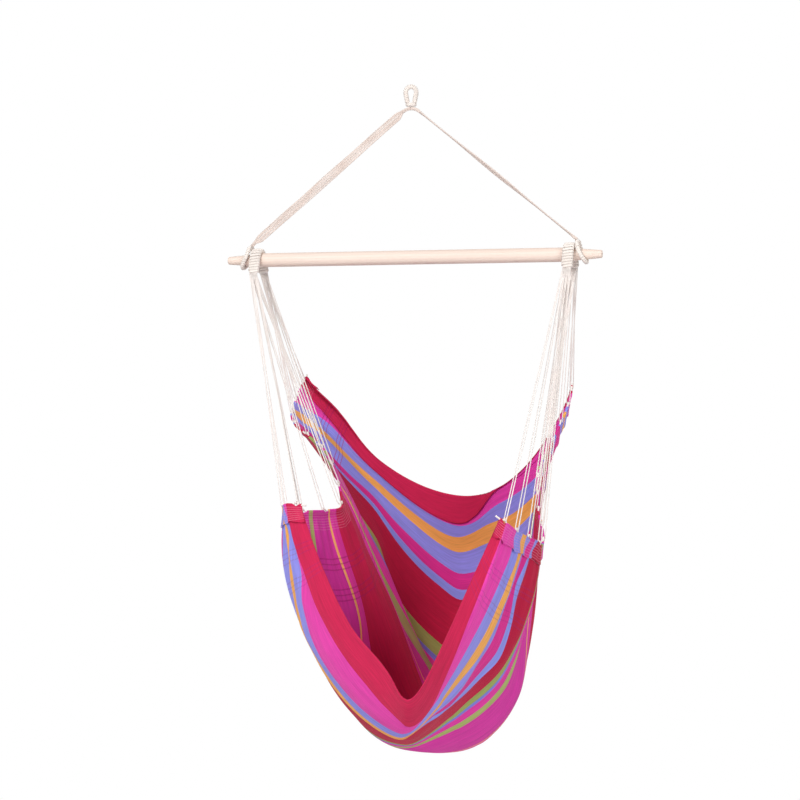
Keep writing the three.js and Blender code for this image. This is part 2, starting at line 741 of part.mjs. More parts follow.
// A hem's edge as the cloth has it, by the length along it: the point there and the cloth's way out.
function hemLine(sign) {
  const edge = [];
  const inner = [];
  for (let i = 0; i <= CLOTH_STEPS_ALONG; i++) {
    const u = i / CLOTH_STEPS_ALONG;
    edge.push(clothPoint(u, sign));
    inner.push(clothPoint(u, sign * (1 - 2 / CLOTH_STEPS_ACROSS)));
  }
  const lengths = [0];
  for (let i = 1; i < edge.length; i++) {
    lengths.push(lengths[i - 1] + edge[i].distanceTo(edge[i - 1]));
  }
  const at = (s) => {
    let i = 0;
    while (i < CLOTH_STEPS_ALONG - 1 && lengths[i + 1] < s) {
      i++;
    }
    const f = (s - lengths[i]) / (lengths[i + 1] - lengths[i]);
    const point = edge[i].clone().lerp(edge[i + 1], f);
    const within = inner[i].clone().lerp(inner[i + 1], f);
    return { point, clothOut: point.clone().sub(within) };
  };
  return { at, total: lengths[CLOTH_STEPS_ALONG] };
}

// The end face of a leg: its centre, the way its cords leave, and the way its rows run.
function legEnd(sign, rear) {
  const { centre, tangent } = loopPlace(sign, rear ? loopLength : 0);
  const leave = rear ? tangent : tangent.clone().negate();
  return { centre: centre.addScaledVector(leave, GAP), leave, back: X_AXIS.clone().cross(leave) };
}

// The hem at a length s: its point, its run, the cloth's way out and the way to the leg.
function hemFrame(line, s, sign) {
  const step = HEM_ROPE_DIAMETER;
  const tangent = line.at(s + step).point.sub(line.at(s - step).point).normalize();
  const { point, clothOut } = line.at(s);
  const rear = s > line.total / 2;
  const out = legEnd(sign, rear).centre.sub(point);
  for (const way of [clothOut, out]) {
    way.addScaledVector(tangent, -way.dot(tangent)).normalize();
  }
  return { point, clothOut, out, side: tangent.clone().cross(out) };
}

const ropeRadius = HEM_ROPE_DIAMETER / 2;
const ropeSeat = ropeRadius + HEM_ROPE_CLEARANCE;
const crownShare = 0.2;

// How far a loop of the rope rises from its seat, at an offset along the hem from its crown.
function ropeRise(offset) {
  const share = Math.min(1, Math.abs(offset) / ROPE_LOOP_HALF_WIDTH);
  return ROPE_LOOP_HEIGHT * Math.cos((Math.PI / 2) * share) ** 2;
}

function ropePoint({ point, clothOut, out }, rise) {
  return point.clone().addScaledVector(clothOut, ropeSeat).addScaledVector(out, rise);
}

function loopPlaces(line) {
  const first = ROPE_LOOP_HALF_WIDTH + HEM_ROPE_DIAMETER;
  const pitch = (line.total - 2 * first) / (CORDS_A_SIDE - 1);
  return Array.from({ length: CORDS_A_SIDE }, (_, i) => first + i * pitch);
}

function hemRope(sign) {
  const line = hemLine(sign);
  const places = loopPlaces(line);
  const offsets = [-1, -0.6, -crownShare, crownShare, 0.6, 1].map((s) => s * ROPE_LOOP_HALF_WIDTH);
  const stations = [[-ROPE_END, 0]];
  places.forEach((place, i) => {
    for (const offset of offsets) {
      stations.push([place + offset, ropeRise(offset)]);
    }
    if (i < places.length - 1) {
      stations.push([(place + places[i + 1]) / 2, 0]);
    }
  });
  stations.push([line.total + ROPE_END, 0]);
  const points = stations.map(([s, rise]) => ropePoint(hemFrame(line, s, sign), rise));
  return cord(points, ropeRadius, CORD_SIDES, X_AXIS);
}

// Where each doubled cord leaves its leg: front rows serve the loops nearer the front, and
// within a row the cords keep the order that their loops have along the bar.
function cordStarts(sign, crowns) {
  const legs = [
    { rear: false, rows: [[0, 1, 2, 3], [4, 5, 6]] },
    { rear: true, rows: [[7, 8, 9], [10, 11, 12, 13]] },
  ];
  const starts = [];
  for (const { rear, rows } of legs) {
    const { centre, leave, back } = legEnd(sign, rear);
    rows.forEach((row, r) => {
      const sorted = [...row].sort((i, k) => crowns[i].x - crowns[k].x);
      sorted.forEach((cordIndex, place) => {
        const middle = (place - (row.length - 1) / 2) * 2 * CORD_PITCH;
        const rowShift = (r - 0.5) * CORD_ROW_PITCH;
        const at = (shift) =>
          centre
            .clone()
            .addScaledVector(X_AXIS, middle + shift)
            .addScaledVector(back, rowShift);
        starts[cordIndex] = { low: at(-CORD_PITCH / 2), high: at(CORD_PITCH / 2), leave };
      });
    });
  }
  return starts;
}

// A doubled cord: down from the leg, round the rope's loop and up again.
function seatCord(start, crown, out, side) {
  const high = side.x > 0 ? side : side.clone().negate();
  const cordRadius = SEAT_CORD_DIAMETER / 2;
  const bight = ropeRadius + cordRadius + BIGHT_CLEARANCE;
  const points = [start.low];
  const tangents = [start.leave];
  const steps = 6;
  points.push(crown.clone().addScaledVector(high, -bight).addScaledVector(out, BIGHT_RISE));
  for (let i = 0; i <= steps; i++) {
    const angle = Math.PI + (Math.PI * i) / steps;
    const p = crown
      .clone()
      .addScaledVector(high, bight * Math.cos(angle))
      .addScaledVector(out, bight * Math.sin(angle));
    points.push(p);
  }
  points.push(crown.clone().addScaledVector(high, bight).addScaledVector(out, BIGHT_RISE));
  points.push(start.high);
  for (let i = 1; i < points.length - 1; i++) {
    tangents.push(points[i + 1].clone().sub(points[i - 1]).normalize());
  }
  tangents[1] = points[2].clone().sub(points[1]).normalize();
  tangents[points.length - 2] = points[points.length - 2]
    .clone()
    .sub(points[points.length - 3])
    .normalize();
  tangents.push(start.leave.clone().negate());
  return cord(points, cordRadius, CORD_SIDES, X_AXIS, tangents);
}

function seatCords(name, sign) {
  const line = hemLine(sign);
  const frames = loopPlaces(line).map((s) => hemFrame(line, s, sign));
  const crownRise = ropeRise(crownShare * ROPE_LOOP_HALF_WIDTH);
  const crowns = frames.map((frame) => ropePoint(frame, crownRise));
  const starts = cordStarts(sign, crowns);
  frames.forEach(({ out, side }, i) => {
    const number = String(i + 1).padStart(2, '0');
    add(`seat_cord_${name}_${number}`, seatCord(starts[i], crowns[i], out, side), cotton);
  });
}

for (const { name, sign } of SIDES) {
  add(`hem_rope_${name}`, hemRope(sign), cotton);
  seatCords(name, sign);
}

export default chair;
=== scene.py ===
import math

import bpy
import numpy as np
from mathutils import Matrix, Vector


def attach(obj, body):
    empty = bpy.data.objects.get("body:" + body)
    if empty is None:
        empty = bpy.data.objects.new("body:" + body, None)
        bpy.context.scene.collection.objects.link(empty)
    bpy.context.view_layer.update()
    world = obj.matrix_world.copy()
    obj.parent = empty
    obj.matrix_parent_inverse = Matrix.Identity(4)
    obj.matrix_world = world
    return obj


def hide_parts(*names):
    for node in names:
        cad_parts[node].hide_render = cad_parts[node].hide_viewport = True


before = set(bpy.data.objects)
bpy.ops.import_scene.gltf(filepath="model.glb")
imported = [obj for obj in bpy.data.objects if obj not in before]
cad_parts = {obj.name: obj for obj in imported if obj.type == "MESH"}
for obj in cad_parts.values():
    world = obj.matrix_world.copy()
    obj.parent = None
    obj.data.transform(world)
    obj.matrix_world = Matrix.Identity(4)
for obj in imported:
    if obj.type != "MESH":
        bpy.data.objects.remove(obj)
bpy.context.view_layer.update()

# The studio. A level camera stands 6.67 m away, 17 degrees round towards the bar's +X end, with a
# long lens. The floor is pale and lies well below the hanging seat, and far from the object it
# melts into a white background.


def linear(code):
    """The linear colour of an sRGB hex code, as red, green, blue and 1."""
    parts = [int(code[k:k + 2], 16) / 255 for k in (1, 3, 5)]
    return [c / 12.92 if c <= 0.04045 else ((c + 0.055) / 1.055) ** 2.4 for c in parts] + [1.0]


class Shader:
    """The emptied node tree of a new material or world, with a method for each thing added to it."""

    def __init__(self, owner):
        self.owner = owner
        owner.use_nodes = True
        self.tree = owner.node_tree
        self.tree.nodes.clear()

    def node(self, kind, inputs=(), **settings):
        """Adds one node. Its inputs are a tuple in their order or a dict by name or number. A node
        as an input links its first output, and text is a colour's hex code."""
        made = self.tree.nodes.new("ShaderNode" + kind)
        for key, setting in settings.items():
            setattr(made, key, setting)
        for key, value in inputs.items() if isinstance(inputs, dict) else enumerate(inputs):
            if isinstance(value, bpy.types.Node):
                value = value.outputs[0]
            if isinstance(value, bpy.types.NodeSocket):
                self.tree.links.new(value, made.inputs[key])
            else:
                made.inputs[key].default_value = linear(value) if isinstance(value, str) else value
        return made

    def math(self, operation, *values):
        return self.node("Math", values, operation=operation)

    def times(self, first, second):
        return self.math("MULTIPLY", first, second)

    def plus(self, first, second):
        return self.math("ADD", first, second)

    def minus(self, first, second):
        return self.math("SUBTRACT", first, second)

    def object_place(self):
        return self.node("TexCoord").outputs["Object"]

    def surface_place(self):
        """The UV map's values, X and Y apart."""
        return self.node("SeparateXYZ", (self.node("UVMap", uv_map="surface"),)).outputs

    def noise(self, place, scale, detail, **more):
        inputs = {"Vector": place, "Scale": scale, "Detail": detail, **more}
        return self.node("TexNoise", inputs).outputs["Fac"]

    def remap(self, value, low, high, first=0.0, last=1.0, **settings):
        """first where the value is at low or less, last at high or more, and evenly between."""
        inputs = {"Value": value, "From Min": low, "From Max": high, "To Min": first, "To Max": last}
        return self.node("MapRange", inputs, **settings)

    def mixed(self, share, first, second, **settings):
        """A colour that goes from the first to the second as the share goes from 0 to 1."""
        inputs = {0: share, 6: first, 7: second}
        return self.node("Mix", inputs, data_type="RGBA", **settings).outputs[2]

    def seen(self):
        """1 on rays by which the camera sees a thing, mirrored or through glass too, else 0."""
        ray = self.node("LightPath").outputs
        straight = self.math("MAXIMUM", ray["Is Camera Ray"], ray["Is Glossy Ray"])
        return self.math("MAXIMUM", straight, ray["Is Transmission Ray"])

    def finish(self, colour, roughness, specular, bump, sheen=(0.0, 0.5)):
        """Ends a matt material. bump is a height, a strength and a distance in metres, and sheen is
        a weight and a roughness. Gives the material."""
        height, strength, distance = bump
        normal = self.node("Bump", {"Height": height, "Strength": strength, "Distance": distance})
        skin = {"Base Color": colour, "Roughness": roughness, "Specular IOR Level": specular}
        skin.update({"Normal": normal, "Sheen Weight": sheen[0], "Sheen Roughness": sheen[1]})
        self.node("OutputMaterial", (self.node("BsdfPrincipled", skin),))
        return self.owner


def linked(name, data):
    """An object of the scene that holds a camera, lamp or mesh."""
    made = bpy.data.objects.new(name, data)
    bpy.context.scene.collection.objects.link(made)
    return made


CAMERA_TURN = math.radians(17)
CAMERA_DISTANCE = 6.67
CAMERA_SHIFT = 0.0310
CAMERA_HEIGHT = -0.877
FLOOR_Z = -2.32
FLOOR_REACH = 40
LAMP_AIM = Vector((0, 0, -1.1))
WHITE = (1, 1, 1, 1)

lens = bpy.data.cameras.new("camera")
lens.lens = 106.4
lens.sensor_width = 36
camera = linked("camera", lens)
camera.location = (
    math.sin(CAMERA_TURN) * CAMERA_DISTANCE - math.cos(CAMERA_TURN) * CAMERA_SHIFT,
    -math.cos(CAMERA_TURN) * CAMERA_DISTANCE - math.sin(CAMERA_TURN) * CAMERA_SHIFT,
    CAMERA_HEIGHT,
)
camera.rotation_euler = (math.radians(90), 0, CAMERA_TURN)
bpy.context.scene.camera = camera
bpy.context.scene.view_settings.view_transform = "Standard"


def lamp(name, place, size, power):
    """A square soft box at place that faces LAMP_AIM."""
    light = bpy.data.lights.new(name, "AREA")
    light.size = size
    light.energy = power
    holder = linked(name, light)
    holder.location = place
    holder.rotation_euler = (LAMP_AIM - Vector(place)).to_track_quat("-Z", "Y").to_euler()


lamp("key_soft_box", (-1.8, -6.6, 3.2), 2.4, 400)
lamp("fill_soft_box", (4.6, -3.6, 1.0), 2.6, 130)
lamp("rear_soft_box", (1.5, 6.2, 2.4), 2.6, 110)

world = bpy.data.worlds.new("white_studio")
bpy.context.scene.world = world
shader = Shader(world)
light = shader.node("Background", (WHITE, 0.36))
white = shader.node("Background", (WHITE, 1.0))
shader.node("OutputWorld", (shader.node("MixShader", (shader.seen(), light, white)),))

corners = ((-1, -1), (1, -1), (1, 1), (-1, 1))
floor_mesh = bpy.data.meshes.new("floor")
floor_mesh.from_pydata([(FLOOR_REACH * x, FLOOR_REACH * y, FLOOR_Z) for x, y in corners], [], [(0, 1, 2, 3)])
floor = linked("floor", floor_mesh)
shader = Shader(bpy.data.materials.new("white_paper_floor"))
flat = shader.node("VectorMath", (shader.object_place(), (1, 1, 0)), operation="MULTIPLY")
away = shader.node("VectorMath", (flat,), operation="LENGTH").outputs["Value"]
far = shader.remap(away, 0.9, 1.9, interpolation_type="SMOOTHSTEP")
matt = shader.node("BsdfDiffuse", ((0.86, 0.86, 0.86, 1),))
glow = shader.node("Emission", (WHITE, 1.0))
mixed = shader.node("MixShader", (shader.times(shader.seen(), far), matt, glow))
shader.node("OutputMaterial", (mixed,))
floor_mesh.materials.append(shader.owner)

# The spreader bar: a sanded, unvarnished beech rod of 1.1 m, turned to 40 mm and tapered at both
# ends, with softened edges. It hangs in the two suspension rings and carries the two seat loops.


def surface(name, points, uv, look, body, nodes, close_rows=False, caps=None):
    """Makes a piece from one grid of points (rows, columns, 3) or several (grids, rows, columns, 3).
    Each row is a closed ring. The first and the last get an end face, or the faces that caps lists
    by their places in a ring, unless the rows close too. uv is (rows + 1, columns + 1, 2), or a
    stack of those, so that a seam can have two values. look is the material and a slot name, which is not
    used."""
    grids = points if points.ndim == 4 else points[None]
    count, rows, columns = grids.shape[:3]
    open_rows = rows if close_rows else rows - 1
    i, j = np.meshgrid(np.arange(open_rows), np.arange(columns), indexing="ij")
    corner_i = np.stack([i, i + 1, i + 1, i], -1).reshape(-1, 4)
    corner_j = np.stack([j, j, j + 1, j + 1], -1).reshape(-1, 4)
    quads = (corner_i % rows) * columns + corner_j % columns
    start = (np.arange(count) * rows * columns)[:, None, None]
    faces = (quads[None] + start).reshape(-1, 4).tolist()
    if not close_rows:
        for first in start.ravel():
            for cap in [np.arange(columns)] if caps is None else caps:
                faces.append((first + cap).tolist())
                faces.append((first + (rows - 1) * columns + cap[::-1]).tolist())
    mesh = bpy.data.meshes.new(name)
    mesh.from_pydata(grids.reshape(-1, 3).tolist(), [], faces)
    if uv is not None:
        stack = np.broadcast_to(uv if uv.ndim == 4 else uv[None], (count,) + uv.shape[-3:])
        corners = stack[:, corner_i, corner_j].reshape(-1, 2)
        values = np.zeros((len(mesh.loops), 2), np.float32)
        values[:len(corners)] = corners
        mesh.uv_layers.new(name="surface").data.foreach_set("uv", values.ravel())
    mesh.update()
    outward(mesh)
    mesh.polygons.foreach_set("use_smooth", np.ones(len(mesh.polygons), bool))
    material, slot = look
    mesh.materials.append(material)
    piece = linked(name, mesh)
    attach(piece, body)
    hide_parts(*nodes)
    return piece


def outward(mesh):
    """Turns a closed mesh's faces outward: the signed volume, a sixth of the sum of each
    triangle's triple product, is made positive."""
    mesh.calc_loop_triangles()
    tri = np.empty(len(mesh.loop_triangles) * 3, np.int32)
    mesh.loop_triangles.foreach_get("vertices", tri)
    co = np.empty(len(mesh.vertices) * 3)
    mesh.vertices.foreach_get("co", co)
    a, b, c = np.moveaxis(co.reshape(-1, 3)[tri].reshape(-1, 3, 3), 1, 0)
    if np.einsum("ij,ij->", a, np.cross(b, c)) < 0:
        mesh.flip_normals()


BAR_Z = -0.475
BAR_HALF = 0.550
BAR_RADIUS = 0.020
BAR_TIP = 0.011
BAR_TAPER = 0.112
BAR_EDGE = 0.003


def bar_radius(x):
    """Full radius in the middle, falling in a straight line to the tip radius over each taper."""
    into = np.maximum(0, np.abs(x) - (BAR_HALF - BAR_TAPER))
    return BAR_RADIUS - (BAR_RADIUS - BAR_TIP) * into / BAR_TAPER


def bar_points(rings=90, sides=64, edge_rings=6):
    """A circle of bar_radius(x) carried along X, with a quarter-round of BAR_EDGE at each end."""
    turn = np.linspace(0, math.pi / 2, edge_rings)
    end_x = BAR_HALF - BAR_EDGE + BAR_EDGE * np.cos(turn)
    end_r = bar_radius(end_x) - BAR_EDGE + BAR_EDGE * np.sin(turn)
    x = np.r_[-end_x, np.linspace(-end_x[-1], end_x[-1], rings)[1:-1], end_x[::-1]]
    r = np.r_[end_r, bar_radius(x[edge_rings:-edge_rings]), end_r[::-1]]
    angle = np.linspace(0, 2 * math.pi, sides, endpoint=False)
    ring = np.stack([np.zeros(sides), np.cos(angle), np.sin(angle)], -1)
    return ring[None] * r[:, None, None] + np.stack([x, 0 * x, 0 * x + BAR_Z], -1)[:, None]


def beech():
    """Sanded beech: pale pinkish cream, long grain along the rod with one cathedral figure, and the
    short dark flecks that tell beech from other woods. Matt, with no varnish."""
    shader = Shader(bpy.data.materials.new("sanded_beech"))
    place = shader.object_place()

    def stretched(*scale):
        return shader.node("Mapping", {"Vector": place, "Scale": scale})

    bend = shader.noise(stretched(1.6, 26, 26), 1.3, 3, Roughness=0.45)
    figure = {"Vector": stretched(3.0, 60, 60), "Scale": 0.62, "Distortion": 9.0, "Detail": 2.0}
    figure["Detail Scale"] = 0.35
    rings = shader.node("TexWave", figure, wave_type="RINGS", rings_direction="X", wave_profile="SAW")
    grain = shader.remap(rings.outputs["Fac"], 0.55, 1.0)
    fibre = shader.noise(stretched(9, 500, 500), 1.0, 2)
    cells = {"Vector": stretched(240, 1400, 1400), "Scale": 1.0, "Randomness": 1.0}
    fleck = shader.remap(shader.node("TexVoronoi", cells).outputs["Distance"], 0.10, 0.22, 1.0, 0.0)
    colour = shader.mixed(bend, "#EFDFD4", "#E6D2C6")
    for mask, share, code in ((grain, 0.2, "#D2AE98"), (fibre, 0.16, "#CBA890"), (fleck, 0.35, "#AC8466")):
        colour = shader.mixed(shader.times(mask, share), colour, code)
    return shader.finish(colour, 0.55, 0.35, (fibre, 0.12, 0.0004))


surface("beech_spreader_bar", bar_points(), None, (beech(), "wood"), "bar", ["spreader_bar"])

# The top eye: the cotton suspension cords bent over into one small eye, and hitched all round with
# a finer cotton cord, so that the hook bears on the hitches. They show as ridges across the eye.


def cotton(name, light, shade, strands, pitch, depth, dark):
    """Twisted cotton: strands wind round the cord once in pitch metres, with painted shade in the groove
    between two strands, over a matt, slightly hairy surface. A slow random drift adds some of the
    shade colour too. The UV map has metres along and turns round."""
    shader = Shader(bpy.data.materials.new(name))
    at = shader.surface_place()
    turns = shader.plus(shader.times(at["X"], 1 / pitch), at["Y"])
    ridge = shader.math("ABSOLUTE", shader.math("SINE", shader.times(turns, strands * math.pi)))
    place = shader.object_place()
    hair = shader.noise(place, 500, 2, Roughness=0.6)
    drift = shader.noise(place, 14, 1)
    # Painted shade: the grooves between strands are painted with up to dark of the shade colour, and a slow
    # random drift adds a little more of it.
    tone = shader.plus(shader.remap(ridge, 0.0, 0.55, dark, 0.0), shader.times(drift, 0.5))
    colour = shader.mixed(tone, light, shade)
    return shader.finish(colour, 0.9, 0.2, (shader.plus(ridge, hair), depth, 0.0006), (0.25, 0.6))


TWISTED = (cotton("twisted_cotton_cord", "#F3ECE7", "#DDD1CB", 3, 0.022, 0.08, 0.15), "cord")
# The suspension cords get a darker copy of the same cotton: painted shade, for the shade that the bundles
# hang in.
SHADED_SUSPENSION = (cotton("shaded_suspension_cotton_cord", "#E2D4CC", "#BFABA1", 3, 0.030, 0.05, 0.1), "cord")
# The servings get the deepest painted shade between their wraps.
HITCHED = (cotton("hitched_cotton_serving", "#F6F0EA", "#C9B8AE", 2, 0.006, 0.3, 0.7), "serving")


def unit(v):
    """Vectors scaled to length 1 along the last axis."""
    return v / np.maximum(np.linalg.norm(v, axis=-1, keepdims=True), 1e-12)


def tangents(path):
    """Unit directions of a path from its neighbours, one-sided at the ends."""
    return unit(np.gradient(path, axis=-2))


def square_to(run, way):
    """The unit direction of the part of a way that is square to the run."""
    return unit(way - run * np.sum(way * run, -1, keepdims=True))


def lengths(path):
    """The distance along a path at each of its points, from 0."""
    steps = np.linalg.norm(np.diff(path, axis=0), axis=-1)
    return np.r_[0, np.cumsum(steps)]


def carried(path, first):
    """Two cross directions along a path, carried without twist: each step drops from the last
    direction its part along the path."""
    t = tangents(path)
    across = np.empty_like(path)
    a = np.asarray(first, float)
    for k, direction in enumerate(t):
        a = a - direction * a.dot(direction)
        a = a / np.linalg.norm(a)
        across[k] = a
    return across, np.cross(t, across)


def cord_uv(path, sides):
    """Metres along the path by turns round the section, with both values kept at the seam."""
    along = lengths(path)
    along = np.r_[along, along[-1]]
    return np.stack(np.meshgrid(along, np.linspace(0, 1, sides + 1), indexing="ij"), -1)


def swept(path, across, up, wide, high, sides):
    """An oval section carried along a path: path + wide cos(angle) across + high sin(angle) up.
    Gives its points and its UV map, like all that make a cord here."""
    angle = np.linspace(0, 2 * math.pi, sides, endpoint=False)
    wide, high = (np.broadcast_to(v, path.shape[:1])[:, None, None] for v in (wide, high))
    a = across[:, None] * np.cos(angle)[None, :, None] * wide
    b = up[:, None] * np.sin(angle)[None, :, None] * high
    return path[:, None] + a + b, cord_uv(path, sides)


def round_cord(path, first, radius, sides):
    """A round section carried along a path, with its seam towards the first direction."""
    return swept(path, *carried(path, first), radius, radius, sides)


def step_at(at, places):
    """For each place the number of the known one before it, the step from there to the next, and
    the share of that step that it has gone."""
    i = np.clip(np.searchsorted(places, at, side="right") - 1, 0, len(places) - 2)
    run = (places[i + 1] - places[i])[..., None]
    return i, run, (at - places[i])[..., None] / run


def read_off(at, places, values):
    """A line's rows at other places: straight between those that it has, and on past its ends."""
    i, _, f = step_at(at, places)
    return values[i] * (1 - f) + values[i + 1] * f


def cubic(at, places, values, slopes):
    """A smooth line at other places: cubic from value to value, with the slope given at each."""
    i, run, f = step_at(at, places)
    return (
        values[i] * (2 * f**3 - 3 * f**2 + 1)
        + slopes[i] * run * (f**3 - 2 * f**2 + f)
        + values[i + 1] * (3 * f**2 - 2 * f**3)
        + slopes[i + 1] * run * (f**3 - f**2)
    )


def resample(points, count):
    """A smooth path through a few points: cubic through each point with slopes from its neighbours,
    then spaced evenly along its length."""
    p = np.asarray(points, float)
    s = lengths(p)
    fine = cubic(np.linspace(0, s[-1], 40 * len(p)), s, p, np.gradient(p, s, axis=0))
    d = lengths(fine)
    return read_off(np.linspace(0, d[-1], count), d, fine)


EYE_CORE = 0.0040
EYE_SERVED = 0.0071
EYE_BEND = 0.0085 + EYE_SERVED
EYE_CENTRE_Z = EYE_SERVED - EYE_BEND
EYE_FOOT_Z = -0.038
EYE_FOOT = 0.0105
EYE_HITCHES = 24
EYE_CORD = (0.0024, 0.0019)
EYE_LEAN = 0.0012

turn = np.linspace(math.pi, 0, 9)
arm_x, arm_z = (EYE_FOOT + EYE_BEND) / 2, (EYE_FOOT_Z + EYE_CENTRE_Z) / 2
eye_line = resample(
    [(-EYE_FOOT, 0, EYE_FOOT_Z), (-arm_x, 0, arm_z)]
    + [(EYE_BEND * math.cos(a), 0, EYE_CENTRE_Z + EYE_BEND * math.sin(a)) for a in turn]
    + [(arm_x, 0, arm_z), (EYE_FOOT, 0, EYE_FOOT_Z)],
    120,
)


def oval_outline(wide, deep):
    """Once round an oval: its point and its outward direction."""
    def at(turn):
        angle = 2 * math.pi * turn
        c, s = np.cos(angle), np.sin(angle)
        return wide * c, deep * s, c / wide, s / deep
    return at


def round_outline(radius):
    """Once round a circle."""
    return oval_outline(radius, radius)


def hitched(core, across, up, outline, turns, section, steps=22, lean=0.0):
    """A flat serving cord wound round a core: at turn k its middle is core + a across + b up, where
    a, b run round the outline once a turn. Its section has a half width along the core and a half
    height outward, and lean carries it to and fro along the core once a turn."""
    t = np.linspace(0, 1, int(turns * steps) + 1)
    s = np.linspace(0, 1, len(core))
    a, b, out_a, out_b = (v[:, None] for v in outline((t * turns) % 1.0))
    c, x, y = read_off(t, s, core), unit(read_off(t, s, across)), unit(read_off(t, s, up))
    run = unit(np.cross(x, y))
    path = c + x * a + y * b + run * (lean * np.sin(2 * math.pi * t * turns))[:, None]
    return swept(path, run, unit(x * out_a + y * out_b), *section, sides=10)


surface("eye_core_cords", *round_cord(eye_line, (0, 1, 0), EYE_CORE, 16), TWISTED, "eye", ["top_eye"])
outline = round_outline(EYE_SERVED - EYE_CORD[1])
ways = carried(eye_line, (0, 1, 0))
hitches = hitched(eye_line, *ways, outline, EYE_HITCHES, EYE_CORD, lean=EYE_LEAN)
surface("eye_hitches", *hitches, HITCHED, "eye", ["eye_serving"])

# The throat: the two arms of the eye are pinched together by a little over two turns of cord, and
# the cords below it part to the left and the right.

THROAT_TOP = -0.0383
THROAT_FOOT = -0.0493
THROAT_WIDE = 0.0135
THROAT_DEEP = 0.0065
WRAP_WIDE = 0.0146
WRAP_DEEP = 0.0078
WRAP_TURNS = 2.4
WRAP_CORD = (0.0017, 0.0016)


def throat_line(top, foot, count):
    """A straight line down through the throat, with its two cross directions."""
    z = np.linspace(top, foot, count)
    return np.stack([0 * z, 0 * z, z], -1), np.tile([1.0, 0, 0], (count, 1)), np.tile([0, 1.0, 0], (count, 1))


pinch = 1 - 0.12 * np.sin(np.linspace(0, math.pi, 9))
gathered = swept(*throat_line(THROAT_TOP, THROAT_FOOT, 9), THROAT_WIDE * pinch, THROAT_DEEP * pinch, 40)
surface("throat_cords", *gathered, TWISTED, "throat", ["throat_bundle"])
wrap_line = throat_line(THROAT_TOP - 0.0022, THROAT_FOOT + 0.0018, 20)
wraps = hitched(*wrap_line, oval_outline(WRAP_WIDE, WRAP_DEEP), WRAP_TURNS, WRAP_CORD, steps=60)
surface("throat_whipping_cord", *wraps, HITCHED, "throat", ["throat_whipping"])

# The suspension bundles: eight parallel cotton cords on each side. They leave the throat gathered,
# lie side by side as a flat ribbon, and gather again into the ring round the bar. The left ribbon
# shows its face and the right one its edge.

CORD_RADIUS = 0.0016
RIBBON_CORDS = 8
RIBBON_PITCH = 0.0031
GATHERED_RADIUS = 0.0034
BUNDLE_TOP_Z = -0.0548
BUNDLE_BEND = 0.026
BUNDLE_GATHER = 0.036
RING_PLACE = 0.493
RING_SLANT = 0.012
RING_RISE = 0.016
RING_CORE = 0.0027
RING_SERVED = 0.0064
CLEARANCE = 0.0003


def smooth(value, low, high):
    """0 below low, 1 above high, and 3t^2 - 2t^3 between."""
    t = np.clip((value - low) / (high - low), 0, 1)
    return t * t * (3 - 2 * t)


def within(value, low, full, fading, high):
    """1 from full to fading, 0 below low and above high, and smooth between."""
    return smooth(value, low, full) * (1 - smooth(value, fading, high))


def round_bar(angle):
    """The outward direction at an angle round the bar, from the top and towards +Y."""
    return np.stack([0 * angle, np.sin(angle), np.cos(angle)], -1)


def ring_point(sign, phi):
    """A slanted loop round the bar by its angle from the top: it keeps to the bar's taper, and
    rises at the top by RING_RISE times the fourth power of the cosine."""
    x = RING_PLACE - RING_SLANT * np.cos(phi)
    radius = bar_radius(x - RING_SERVED / 2) + CLEARANCE + RING_SERVED
    radius = radius + RING_RISE * np.maximum(0, np.cos(phi)) ** 4
    return np.stack([sign * x, radius * np.sin(phi), BAR_Z + radius * np.cos(phi)], -1)


def bundle(sign, ribbon_turn, waver):
    """Eight cords side by side on one line. Across the ribbon they lie RIBBON_PITCH apart, and where
    it gathers they move to one middle cord with seven round it."""
    ring_top = ring_point(sign, np.array(0.0))
    crown = np.array([sign * 0.00015, 0, BUNDLE_TOP_Z])
    corner = np.array([sign * BUNDLE_BEND / 2, 0, BUNDLE_TOP_Z])
    along = unit(ring_top - corner)
    leave = corner + along * BUNDLE_BEND / 2
    end = ring_top - along * (RING_CORE + CLEARANCE)
    f = np.linspace(0, 1, 12)[:-1, None]
    bend = crown * (1 - f) ** 2 + 2 * corner * f * (1 - f) + leave * f**2
    g = np.linspace(0, 1, 150)[:, None]
    line = np.concatenate([bend, leave * (1 - g) + end * g])
    s = lengths(line)
    t = tangents(line)
    in_plane = unit(np.cross([0, 1.0, 0], t))
    away = np.cross(t, in_plane)
    from_throat = smooth(s, BUNDLE_BEND / 2, BUNDLE_BEND / 2 + BUNDLE_GATHER)
    gathered = 1 - np.minimum(from_throat, smooth(s[-1] - s, 0, BUNDLE_GATHER))
    spread = 1 - gathered
    angle = ribbon_turn + waver * np.sin(2 * math.pi * s / s[-1] * 1.5) * spread
    cosine, sine = np.cos(angle)[:, None], np.sin(angle)[:, None]
    width = in_plane * cosine + away * sine
    thick = away * cosine - in_plane * sine
    cords = []
    for k in range(RIBBON_CORDS):
        wobble = 0.0006 * np.sin(2 * math.pi * (s / s[-1] * (1.2 + 0.3 * k) + 0.37 * k))
        ring_angle = 2 * math.pi * k / (RIBBON_CORDS - 1)
        near = 0.0 if k == RIBBON_CORDS - 1 else GATHERED_RADIUS
        flat_a = (k - (RIBBON_CORDS - 1) / 2) * RIBBON_PITCH
        a = (flat_a + wobble * spread) * spread + near * np.cos(ring_angle) * gathered
        b = 0.0005 * math.sin(2.1 * k) * spread + near * np.sin(ring_angle) * gathered
        path = line + width * a[:, None] + thick * b[:, None]
        cords.append(round_cord(path, (0, 1, 0), CORD_RADIUS, 10)[0])
    return np.stack(cords), cord_uv(line, 10)


# For each side: its name, the sign of its X, its ribbon's turn and how far the ribbon wavers.
SIDES = (("left", -1), ("right", 1))
RIBBONS = {"left": (0.0, 0.12), "right": (math.radians(72), 0.16)}

